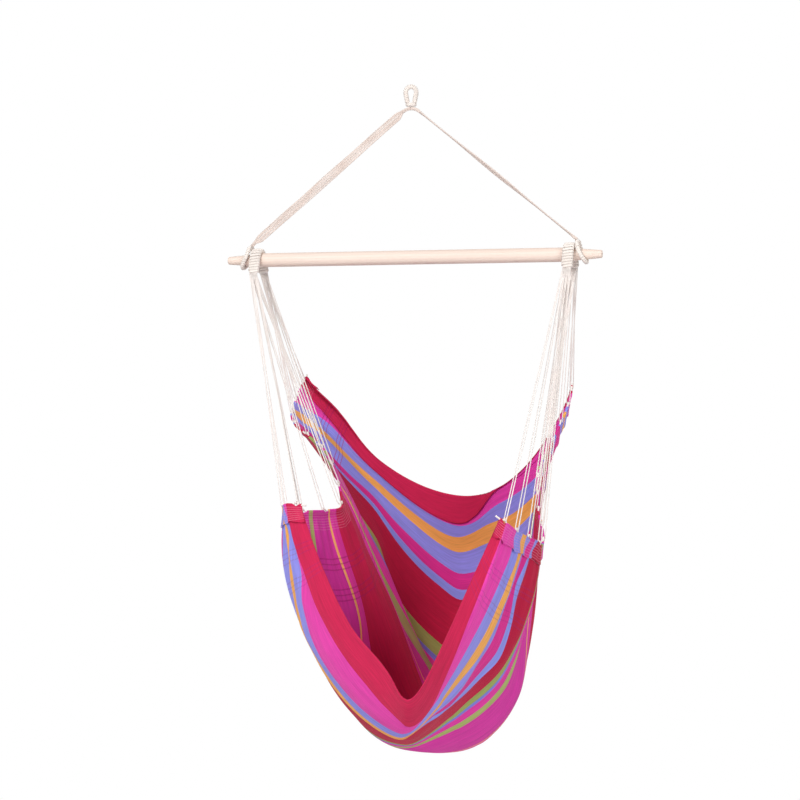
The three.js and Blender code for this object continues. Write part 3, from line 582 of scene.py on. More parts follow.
for side, sign in SIDES:
    ribbon = bundle(sign, *RIBBONS[side])
    surface(f"suspension_cords_{side}", *ribbon, SHADED_SUSPENSION, "suspension", [f"suspension_bundle_{side}"])

# The suspension rings: each bundle ends in a slanted loop round the bar's taper, hitched nearly all
# round with a thicker cotton cord, which shows as broad slanting ridges.

RING_FILL = 0.0036
RING_HITCHES = 23
RING_CORD = (0.0037, 0.0021)
RING_LEAN = 0.0016
RING_BARE = math.radians(9)

phi = np.linspace(0, 2 * math.pi, 121)[:-1]
part = (phi > RING_BARE) & (phi < 2 * math.pi - RING_BARE)
outline = round_outline(RING_SERVED - RING_CORD[1])
for side, sign in SIDES:
    loop = ring_point(sign, phi)
    way = unit(np.roll(loop, -1, 0) - np.roll(loop, 1, 0))
    x = unit(np.cross(round_bar(phi), way))
    y = np.cross(way, x)
    core = swept(loop, x, y, RING_FILL, RING_FILL, 14)
    surface(f"ring_core_{side}", *core, TWISTED, "suspension", [f"suspension_ring_{side}"], close_rows=True)
    hitches = hitched(loop[part], x[part], y[part], outline, RING_HITCHES, RING_CORD, lean=RING_LEAN)
    surface(f"ring_hitches_{side}", *hitches, HITCHED, "suspension", [f"ring_serving_{side}"])

# The seat loops: the seat cords' upper ends lie side by side as a flat band over the bar and are
# served with a thick cotton cord, so that they don't wear on the wood.

LOOP_PLACE = 0.459
BAND_HALF = 0.0092
BAND_CORE = 0.0034
BAND_SERVED = 0.0072
BAND_CORD = (0.0040, 0.0019)
SERVED_HALF = 0.00727
SERVING_HALF = 0.0015
LOOP_LEG = 0.050
FRONT_LEAN = math.radians(18)
REAR_LEAN = math.radians(24)
LOOP_RADIUS = float(bar_radius(LOOP_PLACE - BAND_HALF - SERVING_HALF)) + CLEARANCE + SERVED_HALF
LOOP_LENGTH = 2 * LOOP_LEG + LOOP_RADIUS * (math.pi - FRONT_LEAN - REAR_LEAN)
LOOP_TURNS = 19


def loop_place(sign, s):
    """The band's middle line at a distance s from the front leg's end: straight up the front leg,
    over the bar on an arc, and straight down the rear leg. Gives point, direction and outward."""
    low, high = FRONT_LEAN - math.pi / 2, math.pi / 2 - REAR_LEAN
    theta = np.clip(low + (s - LOOP_LEG) / LOOP_RADIUS, low, high)
    way, out = round_bar(theta + math.pi / 2), round_bar(theta)
    past = np.where(s < LOOP_LEG, s - LOOP_LEG, np.maximum(0, s - (LOOP_LENGTH - LOOP_LEG)))
    centre = np.array([sign * LOOP_PLACE, 0, BAR_Z]) + out * LOOP_RADIUS + way * past[..., None]
    return centre, way, out


def band_outline(half_width, radius):
    """Once round a flat band with round ends, at an even speed: two straight sides and two half
    circles. Gives the point and the outward direction."""
    straight, bend = 2 * half_width, math.pi * radius
    total = 2 * (straight + bend)

    def at(turn):
        d = turn * total
        angle = np.where(d < straight, 0.0, np.clip((d - straight) / radius, 0, math.pi))
        angle = angle + np.clip((d - 2 * straight - bend) / radius, 0, math.pi)
        top = np.clip(d, 0, straight)
        low = np.clip(d - straight - bend, 0, straight)
        a = -half_width + top - low + radius * np.sin(angle)
        return a, radius * np.cos(angle), np.sin(angle), np.cos(angle)
    return at


for side, sign in SIDES:
    s = np.linspace(0, LOOP_LENGTH, 90)
    line, way, out = loop_place(sign, s)
    x = np.tile([1.0, 0, 0], (len(s), 1))
    a, b, _, _ = band_outline(BAND_HALF, BAND_CORE)(np.linspace(0, 1, 40, endpoint=False))
    points = line[:, None] + x[:, None] * a[None, :, None] + out[:, None] * b[None, :, None]
    surface(f"seat_loop_core_{side}", points, cord_uv(line, 40), TWISTED, "seat", [f"seat_loop_{side}"])
    inner = (s > 0.003) & (s < LOOP_LENGTH - 0.003)
    outline = band_outline(BAND_HALF, BAND_SERVED - BAND_CORD[1])
    hitches = hitched(line[inner], x[inner], out[inner], outline, LOOP_TURNS, BAND_CORD, steps=44)
    surface(f"seat_loop_hitches_{side}", *hitches, HITCHED, "seat", [f"seat_loop_serving_{side}"])

# The seat: one sheet of striped woven cotton, 1.6 m from front edge to back edge and 1.3 m from hem
# to hem. Each end is turned back 45 mm on the outer face, stitched, and gathered on its rope. Under
# load the sheet lies over itself in knife pleats at the front and along the back edge.

SEAT_HALF_SPAN = 0.500
SEAT_REACH = 0.500
SEAT_DEPTH = 1.400
FLAT_WIDTH = 1.600
FLAT_LENGTH = 1.300
KEEL_ROUND = 0.15
HEM_DEPTH = 0.045
ROPE_RADIUS = 0.0025
ROPE_SEAT = ROPE_RADIUS + 0.0009

# Each row is a line from hem to hem: left hem, left quarter, keel, right quarter and right hem, in
# hundredths of half spans, reaches and depths. Its place lies between front and back edge, and
# its breadth says how broad the keel is.
SEAT_PLACES = np.array([0, 0.054, 0.148, 0.252, 0.3, 0.354, 0.428, 0.5, 0.646, 0.748, 0.884, 1])
SEAT_BREADTHS = np.array([0.15, 0.25, 0.35, 0.5, 0.65, 0.8, 1, 1, 0.9, 0.8, 0.6, 0.5])
SEAT_ROWS = np.array([
    [-35, -87, 49, -5, -99, 70, 30, -107, 84, 55, -101, 68, 74, -87, 51],
    [-44, -85, 49, -20, -93, 73, 25, -95, 89, 60, -95, 71, 77, -84, 52],
    [-50, -73, 50, -35, -73, 76, 20, -75, 93, 62, -71, 74, 80, -70, 54],
    [-53, -55, 51, -35, -53, 82, 15, -57, 95, 62, -49, 77, 85, -50, 56],
    [-50, -48, 51, -32, -39, 85, 10, -45, 96, 62, -39, 80, 85, -41, 57],
    [-45, -40, 51, -28, -27, 88, 15, -33, 98, 62, -27, 84, 84, -31, 56],
    [-40, -29, 51, -25, -9, 88, 20, -11, 99, 62, -9, 88, 80, -19, 53],
    [-35, -17, 50, -10, 7, 82, 20, 9, 99, 60, 7, 87, 75, -7, 50],
    [-52, 7, 40, -20, 37, 70, 15, 49, 92, 55, 35, 72, 70, 17, 43],
    [-79, 29, 34, -40, 55, 58, 5, 69, 80, 55, 51, 60, 74, 35, 37],
    [-88, 53, 30, -50, 73, 46, 5, 81, 63, 58, 69, 49, 78, 55, 30],
    [-87, 71, 24, -45, 77, 41, 10, 75, 49, 50, 73, 42, 77, 69, 26],
]) / 100

# Where a row swells between those points: the row, the eighth from left outer 0 to right outer 3,
# and how far, in half spans along X and in depths downward.
SWELLS = (
    (0, 1, 0.05, 0), (6, 0, 0.10, 0), (6, 3, -0.05, 0), (9, 1, -0.10, 0), (9, 3, -0.05, 0),
    (10, 3, -0.05, 0), (11, 0, 0, -0.02),
)

# Where the threads lie, in thousandths. One row per thread: its place on the flat sheet, then on
# the surface at each share of the way across, -1 for the left hem and 1 for the right. They follow
# the stripes' edges in the photograph, worked out on an earlier shape of this surface.
ACROSS = np.array([-1, -0.9, -0.75, -0.6, -0.45, -0.25, -0.08, 0.05, 0.15, 0.3, 0.5, 0.75, 1])
THREADS = np.array([
    [0] * 14,
    [54, 50, 50, 41, 44, 42, 38, 43, 75, 80, 56, 42, 39, 45],
    [116, 75, 54, 53, 92, 116, 130, 123, 105, 83, 85, 94, 102, 125],
    [147, 95, 66, 92, 115, 155, 168, 165, 115, 104, 113, 139, 142, 165],
    [170, 115, 80, 105, 128, 175, 184, 188, 122, 112, 136, 183, 169, 187],
    [252, 235, 215, 215, 185, 182, 190, 194, 127, 135, 243, 286, 231, 245],
    [300, 290, 285, 290, 295, 296, 296, 298, 300, 281, 282, 312, 300, 300],
    [354, 350, 354, 350, 350, 350, 350, 330, 312, 315, 340, 374, 370, 355],
    [428, 428, 430, 430, 430, 430, 425, 405, 408, 422, 434, 450, 440, 430],
    [458, 458, 459, 457, 458, 458, 455, 440, 440, 450, 460, 475, 465, 458],
    [542, 542, 552, 558, 565, 560, 550, 545, 545, 545, 545, 545, 545, 542],
    [646, 646, 630, 610, 600, 610, 630, 645, 646, 646, 646, 646, 646, 646],
    [700, 700, 700, 730, 760, 770, 760, 740, 730, 720, 715, 700, 700, 700],
    [748, 748, 765, 800, 825, 838, 840, 835, 820, 810, 790, 770, 752, 748],
    [799, 799, 810, 835, 840, 862, 870, 870, 862, 855, 835, 815, 800, 799],
    [853, 853, 868, 888, 902, 919, 922, 925, 930, 937, 920, 900, 865, 853],
    [884, 884, 905, 925, 936, 946, 944, 946, 947, 955, 955, 935, 900, 884],
    [946, 946, 935, 929, 938, 948, 947, 949, 952, 973, 985, 975, 955, 946],
    [1000] * 14,
]) / 1000


def rounded_v(w, breadth):
    """A V with a round tip: (sqrt(w^2 + c^2) - c) over its own value at 1, for breadth c."""
    return (np.hypot(w, breadth) - breadth) / (np.hypot(1, breadth) - breadth)


def swell(w):
    """4r(1 - r) of the rounded V r: 0 at the keel and at both hems."""
    r = rounded_v(w, KEEL_ROUND)
    return 4 * r * (1 - r)


def plain_thread(left, keel, right, breadth, w):
    """keel + w g + w^2 k, with g half the span of the hems and k their middle less the keel; the
    height uses the rounded V in place of w^2."""
    w = w[..., None]
    g = (right - left) / 2
    k = (left + right) / 2 - keel
    p = keel + w * g + w * w * k
    p[..., 2] = keel[..., 2] + w[..., 0] * g[..., 2] + k[..., 2] * rounded_v(w[..., 0], breadth)
    return p


def seat_table():
    """The rows in metres: left hem, keel, right hem, the left and the right quarter's swell, the
    breadth, and the four eighths' offsets in X and Z."""
    points = SEAT_ROWS.reshape(-1, 5, 3) * [SEAT_HALF_SPAN, SEAT_REACH, -SEAT_DEPTH] + [0, 0, BAR_Z]
    left, left_quarter, keel, right_quarter, right = np.moveaxis(points, 1, 0)
    half = np.full(len(SEAT_ROWS), 0.5)
    quarters = [
        (quarter - plain_thread(left, keel, right, SEAT_BREADTHS, w)) / swell(0.5)
        for quarter, w in ((left_quarter, -half), (right_quarter, half))
    ]
    eighths = np.zeros((len(SEAT_ROWS), 4, 2))
    for row, eighth, *share in SWELLS:
        eighths[row, eighth] = share
    eighths = (eighths * [SEAT_HALF_SPAN, -SEAT_DEPTH]).reshape(-1, 8)
    return np.concatenate([left, keel, right, *quarters, SEAT_BREADTHS[:, None], eighths], 1)


SEAT_TABLE = seat_table()
row = np.arange(len(SEAT_ROWS))
before, after = np.maximum(row - 1, 0), np.minimum(row + 1, row[-1])
SEAT_SLOPES = (SEAT_TABLE[after] - SEAT_TABLE[before]) / (SEAT_PLACES[after] - SEAT_PLACES[before])[:, None]


def cloth_middle(u, w):
    """The seat's middle surface at u from front edge to back edge and w from -1 at the left hem
    to 1 at the right: cubic between the rows, with each slope taken from its neighbours."""
    v = cubic(u, SEAT_PLACES, SEAT_TABLE, SEAT_SLOPES)
    p = plain_thread(v[..., 0:3], v[..., 3:6], v[..., 6:9], v[..., 15], w)
    p = p + np.where((w < 0)[..., None], v[..., 9:12], v[..., 12:15]) * swell(w)[..., None]
    eighth = np.where(w < -0.5, 16, np.where(w < 0, 18, np.where(w <= 0.5, 20, 22)))[..., None]
    ease = np.sin(2 * math.pi * w) ** 2
    p[..., 0] += np.take_along_axis(v, eighth, -1)[..., 0] * ease
    p[..., 2] += np.take_along_axis(v, eighth + 1, -1)[..., 0] * ease
    return p


def cloth_normal(u, w):
    """Unit normal of the middle surface, away from the seat's hollow: the cross product of its
    directions along u and w, from small steps both ways."""
    step = 0.004
    along = cloth_middle(np.minimum(u + step, 1), w) - cloth_middle(np.maximum(u - step, 0), w)
    over = cloth_middle(u, np.minimum(w + step, 1)) - cloth_middle(u, np.maximum(w - step, -1))
    return unit(np.cross(along, over))


SPREAD = np.linspace(-1, 1, 641)


def thread_places(v):
    """Each thread's place on the surface at every share in SPREAD: straight between the values of
    THREADS, then a mean across with a bell-shaped weight 0.03 wide."""
    known = read_off(v, THREADS[:, 0], THREADS[:, 1:])
    fine = read_off(SPREAD, ACROSS, known.T).T
    bell = np.exp(-0.5 * ((SPREAD[:, None] - SPREAD[None]) / 0.03) ** 2)
    return fine @ (bell / bell.sum(0))


def turned_edge(v, u, height):
    """The back edge is turned over in two places: inward near the left hem, 28 mm wide and opening
    upward, and outward at the right, 80 mm wide. Threads past the turn go back along the surface
    by their distance from it, and those before it move up so that the turn lies on the edge."""
    inward = 0.028 * smooth(-SPREAD, 0.45, 0.95)
    outward_turn = 0.080 * within(SPREAD, 0.10, 0.26, 0.80, 0.97)
    width = (inward + outward_turn) / FLAT_WIDTH
    turn = 1 - width
    past = np.maximum(0, v[:, None] - turn)
    at_turn = np.stack([np.interp(t, v, column) for t, column in zip(turn, u.T)])
    grow = 1 + (1 / at_turn - 1) * smooth(v[:, None], 0.80, 0.94)
    u = np.where(past > 0, 1 - past, np.minimum(u * grow, 1))
    clear = np.where(SPREAD < 0, -0.0026, 0.0090)
    opening = np.where(SPREAD < 0, -0.55, 0.03)
    return u, height + clear * smooth(past, 0, 0.002) + opening * past * FLAT_WIDTH


# Knife pleats: first and last thread, number of pleats, and 1 or -1 for a lip outside or inside.
PLEATS = ((0.054, 0.116, 1, 1), (0.170, 0.252, 2, 1), (0.946, 0.884, 1, -1))
PLEAT_RISE = 0.0032
HALF_STEP = 0.002


def knife_pleats(v):
    """How the pleats move each thread: a shift along the surface, and a height off it. The cloth
    that the surface has no room for goes back and forth once a pleat, and each turn steps it down
    by an even part of the rise, over two half steps. The lip's rise fades before the pleat as
    exp(-d / 0.15), and the sink fades after it as exp(-d / 0.3)."""
    shift = np.zeros((len(v), len(SPREAD)))
    height = np.zeros_like(shift)
    fade = 1 - smooth(np.abs(SPREAD), 0.92, 0.985)
    for first, last, folds, side in PLEATS:
        at_first, at_last = thread_places(np.array([first, last]))
        width = abs(last - first) * FLAT_WIDTH
        hidden = np.maximum(0, width - np.abs(at_last - at_first) * FLAT_WIDTH)
        into = (v - first) / (last - first)
        part = (np.clip(into, 0, 1) * folds) % 1
        zigzag = -np.minimum(part, 1 - part)
        shift += zigzag[:, None] * (np.sign(at_last - at_first) * hidden / (folds * FLAT_WIDTH) * fade)
        d = into * width
        leg = width / (2 * folds)
        turns = sum(smooth(d, k * leg - HALF_STEP, k * leg + HALF_STEP) for k in range(2 * folds))
        before, after = np.exp(np.minimum(d, 0) / 0.15) - turns / folds, -np.exp((width - d) / 0.3)
        level = np.where(d < width, before, after)
        height += side * PLEAT_RISE * level[:, None] * (np.minimum(1, hidden / 0.02) * fade)
    return shift, height


def phase(u, count, sway, pace):
    """An angle that turns count times along the hem, at a speed that sways."""
    return 2 * math.pi * count * u + sway * np.sin(pace * u)


# The short pleats that the hem's cords gather, two for each cord, as count, sway and pace.
GATHERS = (28, 2.0, 11)


def soft_folds(u):
    """How far the gathered cloth stands off its middle surface, outward: long soft folds down from
    each hem that fade towards the keel, and pleats between the hem's cords, which only sink in."""
    slant = 12 * SPREAD

    def sink(tilt, *waves):
        return np.cos(phase(u, *waves) + tilt * slant) - 1

    near = 1 - np.abs(SPREAD)
    long = -0.009 * np.sin(math.pi * np.minimum(1, 1.5 * near)) * np.sin(math.pi * u)
    long = long * np.sin(12 * math.pi * u)
    near = near * FLAT_LENGTH / 2
    short = 0.0022 * sink(0.3, *GATHERS) * within(near, 0.0, 0.03, 0.10, 0.30)
    middle = 0.0024 * sink(0.2, 15, 1.6, 5) * within(near, 0.0, 0.06, 0.16, 0.56)
    broad = 0.0016 * sink(0.15, 9, 2.2, 7) * smooth(near, 0.05, 0.3)
    return long + (short + middle + broad) * within(u, 0.0, 0.05, 0.95, 1.0)


# The sheet's threads: evenly spaced, with extra ones at the turns of the pleats.
CLOTH_THREADS = 310
TURN_THREADS = (-0.0026, -0.0013, 0, 0.0013, 0.0026)
turns = [
    first + (last - first) * k / (2 * folds)
    for first, last, folds, _ in PLEATS
    for k in range(2 * folds + 1)
]
extra = [t + d / FLAT_WIDTH for t in turns for d in TURN_THREADS]
v = np.unique(np.round(np.r_[np.linspace(0, 1, CLOTH_THREADS), extra], 5))

# The sheet's columns, by their distance from a hem's edge in metres. On the outer face they run up
# the turned-back flap, over its edge, back under it, and on down the cloth. FLAP_UP is how far the
# flap stands off the middle surface there, and FLAP_FREE how much of its loose edge's rise it has.
INNER_AT = np.array([0, 3, 7, 12, 18, 25, 32, 40, 50, 60, 70, 82, 96, 110]) / 1000
FLAP_AT = np.array([0, 3, 7, 12, 18, 25, 31, 36, 40, 43.2, 44.8, 45, 44, 40, 36, 32]) / 1000
FLAP_UP = np.array([3.3, 2.7, 2.5, 2.4, 2.4, 2.5, 2.7, 2.9, 3.1, 3.2, 3.0, 2.5, 2.1, 1.8, 1.5, 1.2]) / 1000
FLAP_FREE = np.array([0, 0, 0, 0, 0, 0.05, 0.2, 0.45, 0.7, 0.92, 1, 1, 0.92, 0.68, 0.42, 0.15])
BELOW_AT = np.array([36, 42, 48, 56, 66, 80, 96, 110]) / 1000
MIDDLE_COLUMNS = 86
CLOTH_HALF = 0.0007


def cloth_lines(v):
    """The folded sheet along every thread, finely: its points, the distance from the left hem, and
    the threads' places before they are folded."""
    places = thread_places(v)
    shift, height = knife_pleats(v)
    u, height = turned_edge(v, np.clip(places + shift, 0, 1), height)
    w = np.broadcast_to(SPREAD, u.shape)
    fine = cloth_middle(u, w) + cloth_normal(u, w) * (height + soft_folds(u))[..., None]
    steps = np.linalg.norm(np.diff(fine, axis=1), axis=-1)
    return fine, np.concatenate([np.zeros((len(v), 1)), np.cumsum(steps, 1)], 1), places


fine, run, places = cloth_lines(v)
total = run[:, -1:]


def along_threads(at, distances, values):
    """Points or directions along every thread, read off at other distances from the left hem."""
    return np.stack([read_off(*thread) for thread in zip(at, distances, values)])


def spread_columns(hem_at, left_scale, right_scale):
    """Distances from the left hem: hem_at at both ends, and evenly spread columns between. The
    scales lengthen or shorten the distances near each hem."""
    left, right = (1 + (hem_at < 0.06) * (scale - 1) for scale in (left_scale, right_scale))
    middle = np.linspace(0, 1, MIDDLE_COLUMNS + 2)[1:-1] * (total - 2 * hem_at[-1]) + hem_at[-1]
    return np.concatenate([hem_at * left, middle, total - (hem_at * right)[:, ::-1]], 1)


even = np.ones((len(v), 1))
inner_at = spread_columns(INNER_AT, even, even)
inner_line = along_threads(inner_at, run, fine)
normal_at = unit(np.cross(np.gradient(inner_line, axis=0), np.gradient(inner_line, axis=1)))

# The flap's lower edge is uneven from gather to gather, and stands off 1 to 4 mm. It follows the
# gathers at the shares of SPREAD that lie 40 mm in from each hem.
FLAP_SHARE = 20
hem_gather = phase(places[:, [FLAP_SHARE, -1 - FLAP_SHARE]], *GATHERS)
ragged = 1 + 0.05 * np.sin(hem_gather / 2 + 0.6) + 0.03 * np.sin(5.3 * hem_gather + 1)
free = 0.001 + 0.003 * np.cos(hem_gather / 2) ** 2
outer_at = spread_columns(np.r_[FLAP_AT, BELOW_AT], ragged[:, :1], ragged[:, 1:])
outer_up = np.full(outer_at.shape, CLOTH_HALF)
outer_up[:, :len(FLAP_AT)] = FLAP_UP + FLAP_FREE * free[:, :1]
outer_up[:, -len(FLAP_AT):] = (FLAP_UP + FLAP_FREE * free[:, 1:])[:, ::-1]
lip = 0.0008 * (np.exp(-v * FLAT_WIDTH / 0.004) + np.exp(-(1 - v) * FLAT_WIDTH / 0.004))[:, None]
outer_normal = unit(along_threads(outer_at, inner_at, normal_at))
outer = along_threads(outer_at, run, fine) + outer_normal * (outer_up + lip)[..., None]
near = np.minimum(inner_at, total - inner_at)
inner = inner_line - normal_at * (CLOTH_HALF + 0.0024 * np.exp(-((near / 0.007) ** 2)) + lip)[..., None]


# The stripes from an edge to the middle, as widths in shares of their sum, and colours.
STRIPES = (
    (86, "#C8204F"), (99, "#E643AB"), (50, "#8F8FE4"), (37, "#EFA957"), (50, "#8F8FE4"),
    (54, "#D8308F"), (27, "#8B93E6"), (77, "#B9173F"), (22, "#9CA75A"), (14, "#7F7FD8"),
    (27, "#E03AA2"), (22, "#A9B26A"), (118, "#D437A0"), (11, "#F2B368"), (37, "#E03AA2"),
    (67, "#C11B49"),
)
FLOAT_ROWS = (0.110, 0.123, 0.136, 0.183, 0.196, 0.209)
DASH_PITCH = 0.0062
STITCH_ROW = 0.0062
STITCH_PITCH = 0.0058
WARP_RIB = 0.0022
WEFT_RIB = 0.0030
INSIDE_SHIFT = 2.0


def striped_cotton():
    """Plain-woven cotton, dyed in the yarn. The warp runs from hem to hem and carries the stripes,
    so each stripe has fine lengthwise streaks. Near each hem two sets of three weft floats cross
    it: short purple dashes outside, longer magenta ones inside, where the UV map's X is 2 m more.
    The hems are sewn down with rows of thread."""
    shader = Shader(bpy.data.materials.new("striped_woven_cotton"))
    calc, times, plus, minus = shader.math, shader.times, shader.plus, shader.minus
    at = shader.surface_place()
    over = at["Y"]
    inside = calc("GREATER_THAN", at["X"], INSIDE_SHIFT - 0.5)
    along = minus(at["X"], times(inside, INSIDE_SHIFT))
    # over is 0 at the front edge and 1 at the back edge, and the stripes mirror about the middle.
    fold = calc("ABSOLUTE", minus(times(over, 2.0), 1.0))
    stripes = shader.node("ValToRGB", (minus(1.0, fold),))
    stripes.color_ramp.interpolation = "CONSTANT"
    stops = stripes.color_ramp.elements
    reached = 0
    for k, (width, code) in enumerate(STRIPES):
        share = reached / sum(width for width, _ in STRIPES)
        stop = stops[k] if k < 2 else stops.new(share)
        stop.position = share
        stop.color = linear(code)
        reached += width
    # Streaks: warp yarns take the dye a little differently, singly and in broader bands.
    yarn_place, broad_place = (
        shader.node("CombineXYZ", (times(along, lengthwise), times(over, crosswise), 0.0))
        for lengthwise, crosswise in ((12.0, 420.0), (3.0, 110.0))
    )
    yarn = shader.noise(yarn_place, 1.0, 2.0, Roughness=0.7)
    broad = shader.noise(broad_place, 1.0, 2.0)
    tone = plus(plus(times(yarn, 0.62), times(broad, 0.30)), 0.56)
    dyed = shader.mixed(1.0, stripes.outputs["Color"], tone, blend_type="MULTIPLY")
    # Weft floats, as rows of dashes at set distances from the nearer hem.
    near = calc("MINIMUM", along, minus(FLAT_LENGTH, along))
    rows = 0.0
    for distance in FLOAT_ROWS:
        row = calc("LESS_THAN", calc("ABSOLUTE", minus(near, distance)), 0.0017)
        rows = calc("MAXIMUM", rows, row)
    share = plus(times(inside, 0.3), 0.55)
    dash = calc("LESS_THAN", calc("FRACT", times(over, FLAT_WIDTH / DASH_PITCH)), share)
    floats = times(times(rows, dash), plus(times(inside, 0.2), 0.4))
    floated = shader.mixed(floats, dyed, shader.mixed(inside, "#8A2A7A", "#A81660"))
    # Stitch rows in the hem, 6 mm apart, each a row of 4 mm stitches.
    in_hem = calc("LESS_THAN", near, HEM_DEPTH - 0.001)
    row_phase = calc("FRACT", calc("DIVIDE", near, STITCH_ROW))
    on_row = calc("LESS_THAN", calc("ABSOLUTE", minus(row_phase, 0.5)), 0.14)
    in_stitch = calc("LESS_THAN", calc("FRACT", times(over, FLAT_WIDTH / STITCH_PITCH)), 0.66)
    stitch = times(times(in_hem, on_row), in_stitch)
    sewn = shader.mixed(times(stitch, 0.4), floated, "#F4A6C4")
    # Weave: warp ribs of 2.2 mm, drawn coarser than the real yarn so that they show.
    warp = calc("SINE", times(over, 2 * math.pi * FLAT_WIDTH / WARP_RIB))
    weft = calc("SINE", times(along, 2 * math.pi / WEFT_RIB))
    weave = plus(warp, times(weft, 0.6))
    pulled = times(on_row, times(in_hem, -2.5))
    height = plus(plus(weave, times(broad, 2.5)), pulled)
    return shader.finish(sewn, 0.85, 0.2, (height, 0.35, 0.0006), (0.06, 0.5))


ROPE_LOOPS = 14
ROPE_LOOP_HALF = 0.011
ROPE_LOOP_HEIGHT = 0.009
ROPE_END = 0.014
TUNNEL_RADIUS = 0.0040
TUNNEL_COLUMNS = 7


def loop_places(total):
    """Even places of the rope's loops along a hem, with half a loop and a rope's width at each end."""
    first = ROPE_LOOP_HALF + 2 * ROPE_RADIUS
    return np.linspace(first, total - first, ROPE_LOOPS)


def tunnel(column, within):
    """The fold that holds the rope: half a circle round the rope's line, from the outer face to the
    inner one, pushed back where a loop of the rope comes out."""
    edge = inner_line[:, column]
    way = square_to(tangents(edge), edge - inner_line[:, within])
    s = lengths(edge)
    notch = np.exp(-(((s[:, None] - loop_places(s[-1])) / 0.0065) ** 2)).sum(1)
    radius = (TUNNEL_RADIUS - 0.0014 * notch)[:, None, None]
    centre = edge + way * (ROPE_SEAT - 0.0052 * notch)[:, None]
    angle = np.linspace(0, math.pi, TUNNEL_COLUMNS + 2)[None, 1:-1, None]
    bend = normal_at[:, column][:, None] * np.cos(angle) + way[:, None] * np.sin(angle)
    return centre[:, None] + radius * bend


def on_flat(at):
    """Distances from the left hem as they are on the flat sheet."""
    return at / total * FLAT_LENGTH


section = np.concatenate([outer, tunnel(-1, -6), inner[:, ::-1], tunnel(0, 5)[:, ::-1]], 1)
fold = np.ones((len(v), TUNNEL_COLUMNS))
outer_along, inner_along = on_flat(outer_at), on_flat(inner_at)[:, ::-1] + INSIDE_SHIFT
along = np.concatenate([outer_along, fold * FLAT_LENGTH, inner_along, fold * 0, outer_along[:, :1]], 1)
along = np.concatenate([along, along[-1:]])
over = np.broadcast_to(np.r_[v, 1.0][:, None], along.shape)

# The front and back edges close with one small face between the two layers at each column, and one
# face round each hem.
hem_outer, hem_inner = len(FLAP_AT) + len(BELOW_AT), len(INNER_AT)
last_outer = outer.shape[1] - 1
last_inner = last_outer + TUNNEL_COLUMNS + inner.shape[1]
m = np.arange(MIDDLE_COLUMNS + 1)
low, high = hem_outer - 1 + m, last_inner - hem_inner + 1 - m
caps = list(np.stack([low, low + 1, high - 1, high], 1))
caps.append(np.r_[0:hem_outer, last_inner - hem_inner + 1:section.shape[1]])
caps.append(np.arange(last_outer - hem_outer + 1, last_outer + 1 + TUNNEL_COLUMNS + hem_inner))
cloth_uv = np.stack([along, over], -1)
sheet = surface(
    "striped_seat_cloth", section, cloth_uv, (striped_cotton(), "cloth"), "seat", ["seat_cloth"], caps=caps
)

# The hem ropes: a 5 mm cotton rope runs inside each hem and comes out of it in fourteen small
# loops, one for each doubled seat cord. It is plainly cut 14 mm past each corner of the cloth.

HEM_POINTS = 35
HEM_INNER = 1 - 2 / 15


def hem_line(sign):
    """The hem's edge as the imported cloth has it: points, the cloth's way out and the distance along
    it."""
    u = np.linspace(0, 1, HEM_POINTS)
    edge = cloth_middle(u, np.full(HEM_POINTS, float(sign)))
    inner = cloth_middle(u, np.full(HEM_POINTS, sign * HEM_INNER))
    return edge, edge - inner, lengths(edge)


def leg_end(sign, rear):
    """Where a seat loop's leg ends: its middle, the way its cords leave, and the way its rows run."""
    centre, way, _ = loop_place(sign, np.array(LOOP_LENGTH if rear else 0.0))
    leave = way if rear else -way
    return centre + leave * CLEARANCE, leave, np.cross([1.0, 0, 0], leave)


def hem_frames(sign, at):
    """At distances along a hem: its point, the cloth's way out and the way to the leg, both square
    to the hem, and the side way square to the hem and the leg."""
    edge, away, s = hem_line(sign)
    step = 2 * ROPE_RADIUS
    run = unit(read_off(at + step, s, edge) - read_off(at - step, s, edge))
    point = read_off(at, s, edge)
    rear = at > s[-1] / 2
    to_leg = np.where(rear[:, None], leg_end(sign, True)[0], leg_end(sign, False)[0]) - point
    leg = square_to(run, to_leg)
    return point, square_to(run, read_off(at, s, away)), leg, np.cross(run, leg)


def rope_rise(offset):
    """How far a loop rises at an offset from its crown: the height times cos^2 of the share."""
    share = np.minimum(1, np.abs(offset) / ROPE_LOOP_HALF)
    return ROPE_LOOP_HEIGHT * np.cos(math.pi / 2 * share) ** 2


def hem_rope(sign):
    """The rope's line: along the hem at its seat, with a loop towards the leg at each place."""
    total = hem_line(sign)[2][-1]
    at = np.arange(-ROPE_END, total + ROPE_END, 0.0018)
    nearest = np.abs(at[:, None] - loop_places(total)).min(1)
    point, cloth_way, leg, _ = hem_frames(sign, at)
    return point + cloth_way * ROPE_SEAT + leg * rope_rise(nearest)[:, None]


for side, sign in SIDES:
    rope = round_cord(hem_rope(sign), (1, 0, 0), ROPE_RADIUS, 12)
    surface(f"hem_rope_cotton_{side}", *rope, TWISTED, "seat", [f"hem_rope_{side}"])

# The seat cords: fourteen doubled cotton cords on each side fan out from the seat loop's two legs.
# Each goes down, round one loop of the hem rope, and up again beside itself.

SEAT_CORD_RADIUS = 0.0014
CORD_PITCH = 0.0031
ROW_PITCH = 0.0032
BIGHT = ROPE_RADIUS + SEAT_CORD_RADIUS + 0.0009
BIGHT_RISE = 0.009
LEG_ROWS = ((False, ((0, 1, 2, 3), (4, 5, 6))), (True, ((7, 8, 9), (10, 11, 12, 13))))


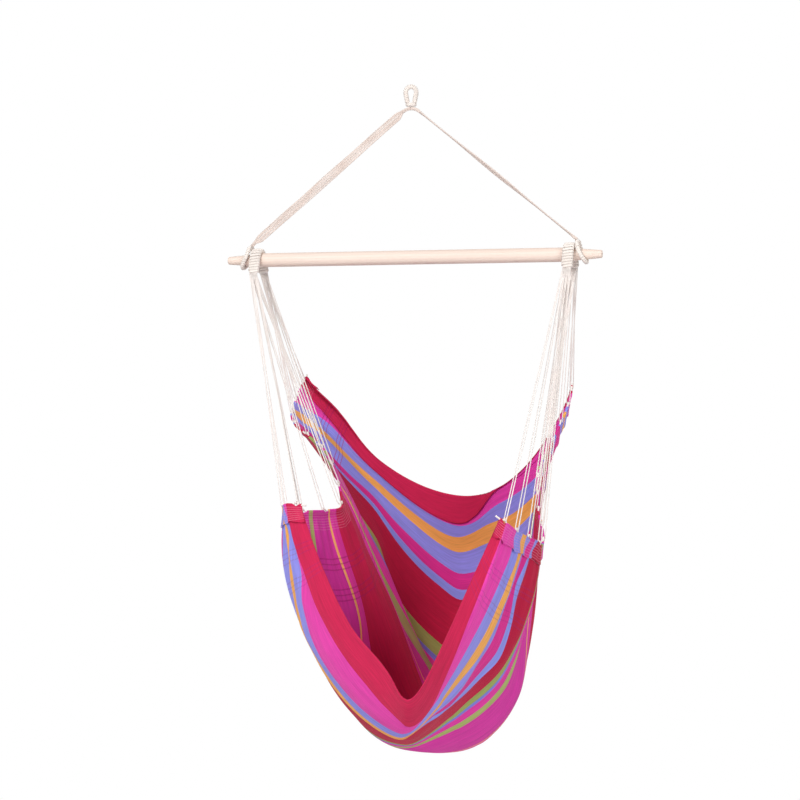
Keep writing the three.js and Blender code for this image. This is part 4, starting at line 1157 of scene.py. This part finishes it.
def cord_starts(sign, crowns):
    """Where each doubled cord leaves its leg, as low-x point, high-x point and direction. Rows
    nearer the front serve the loops nearer the front, in the order that the loops have along X."""
    starts = {}
    for rear, rows in LEG_ROWS:
        centre, leave, back = leg_end(sign, rear)
        for r, row in enumerate(rows):
            base = centre + back * (r - 0.5) * ROW_PITCH
            for place, k in enumerate(sorted(row, key=lambda q: crowns[q][0])):
                middle = (place - (len(row) - 1) / 2) * 2 * CORD_PITCH
                low, high = middle - CORD_PITCH / 2, middle + CORD_PITCH / 2
                starts[k] = (base + np.array([low, 0, 0]), base + np.array([high, 0, 0]), leave)
    return starts


def seat_cord(start, crown, leg, side_way):
    """One doubled cord's line: straight out of the leg, down to the bight, half a circle round the
    rope's crown, and up again."""
    low, high, leave = start
    right = side_way if side_way[0] > 0 else -side_way
    angle = np.linspace(math.pi, 2 * math.pi, 13)[:, None]
    bight = crown + right * BIGHT * np.cos(angle) + leg * BIGHT * np.sin(angle)
    rise = np.array([0.35, 1.0]) * BIGHT_RISE
    down = crown - right * BIGHT + leg * rise[::-1, None]
    climb = crown + right * BIGHT + leg * rise[:, None]
    f = np.linspace(0, 1, 30)[:-1, None]
    ease = 0.004 * leave

    def stretch(top, foot):
        return top * (1 - f) + foot * f + ease * 4 * f * (1 - f) ** 6

    second = stretch(high, climb[-1])[::-1]
    return np.concatenate([stretch(low, down[0]), down, bight, climb, second])


for side, sign in SIDES:
    total = hem_line(sign)[2][-1]
    point, cloth_way, leg, side_way = hem_frames(sign, loop_places(total))
    crowns = point + cloth_way * ROPE_SEAT + leg * rope_rise(0.2 * ROPE_LOOP_HALF)
    starts = cord_starts(sign, crowns)
    paths = [seat_cord(starts[k], crowns[k], leg[k], side_way[k]) for k in range(ROPE_LOOPS)]
    cords = [round_cord(path, (1, 0, 0), SEAT_CORD_RADIUS, 8) for path in paths]
    points, uv = (np.stack(parts) for parts in zip(*cords))
    names = [f"seat_cord_{side}_{k + 1:02d}" for k in range(ROPE_LOOPS)]
    surface(f"seat_cords_cotton_{side}", points, uv, TWISTED, "seat", names)
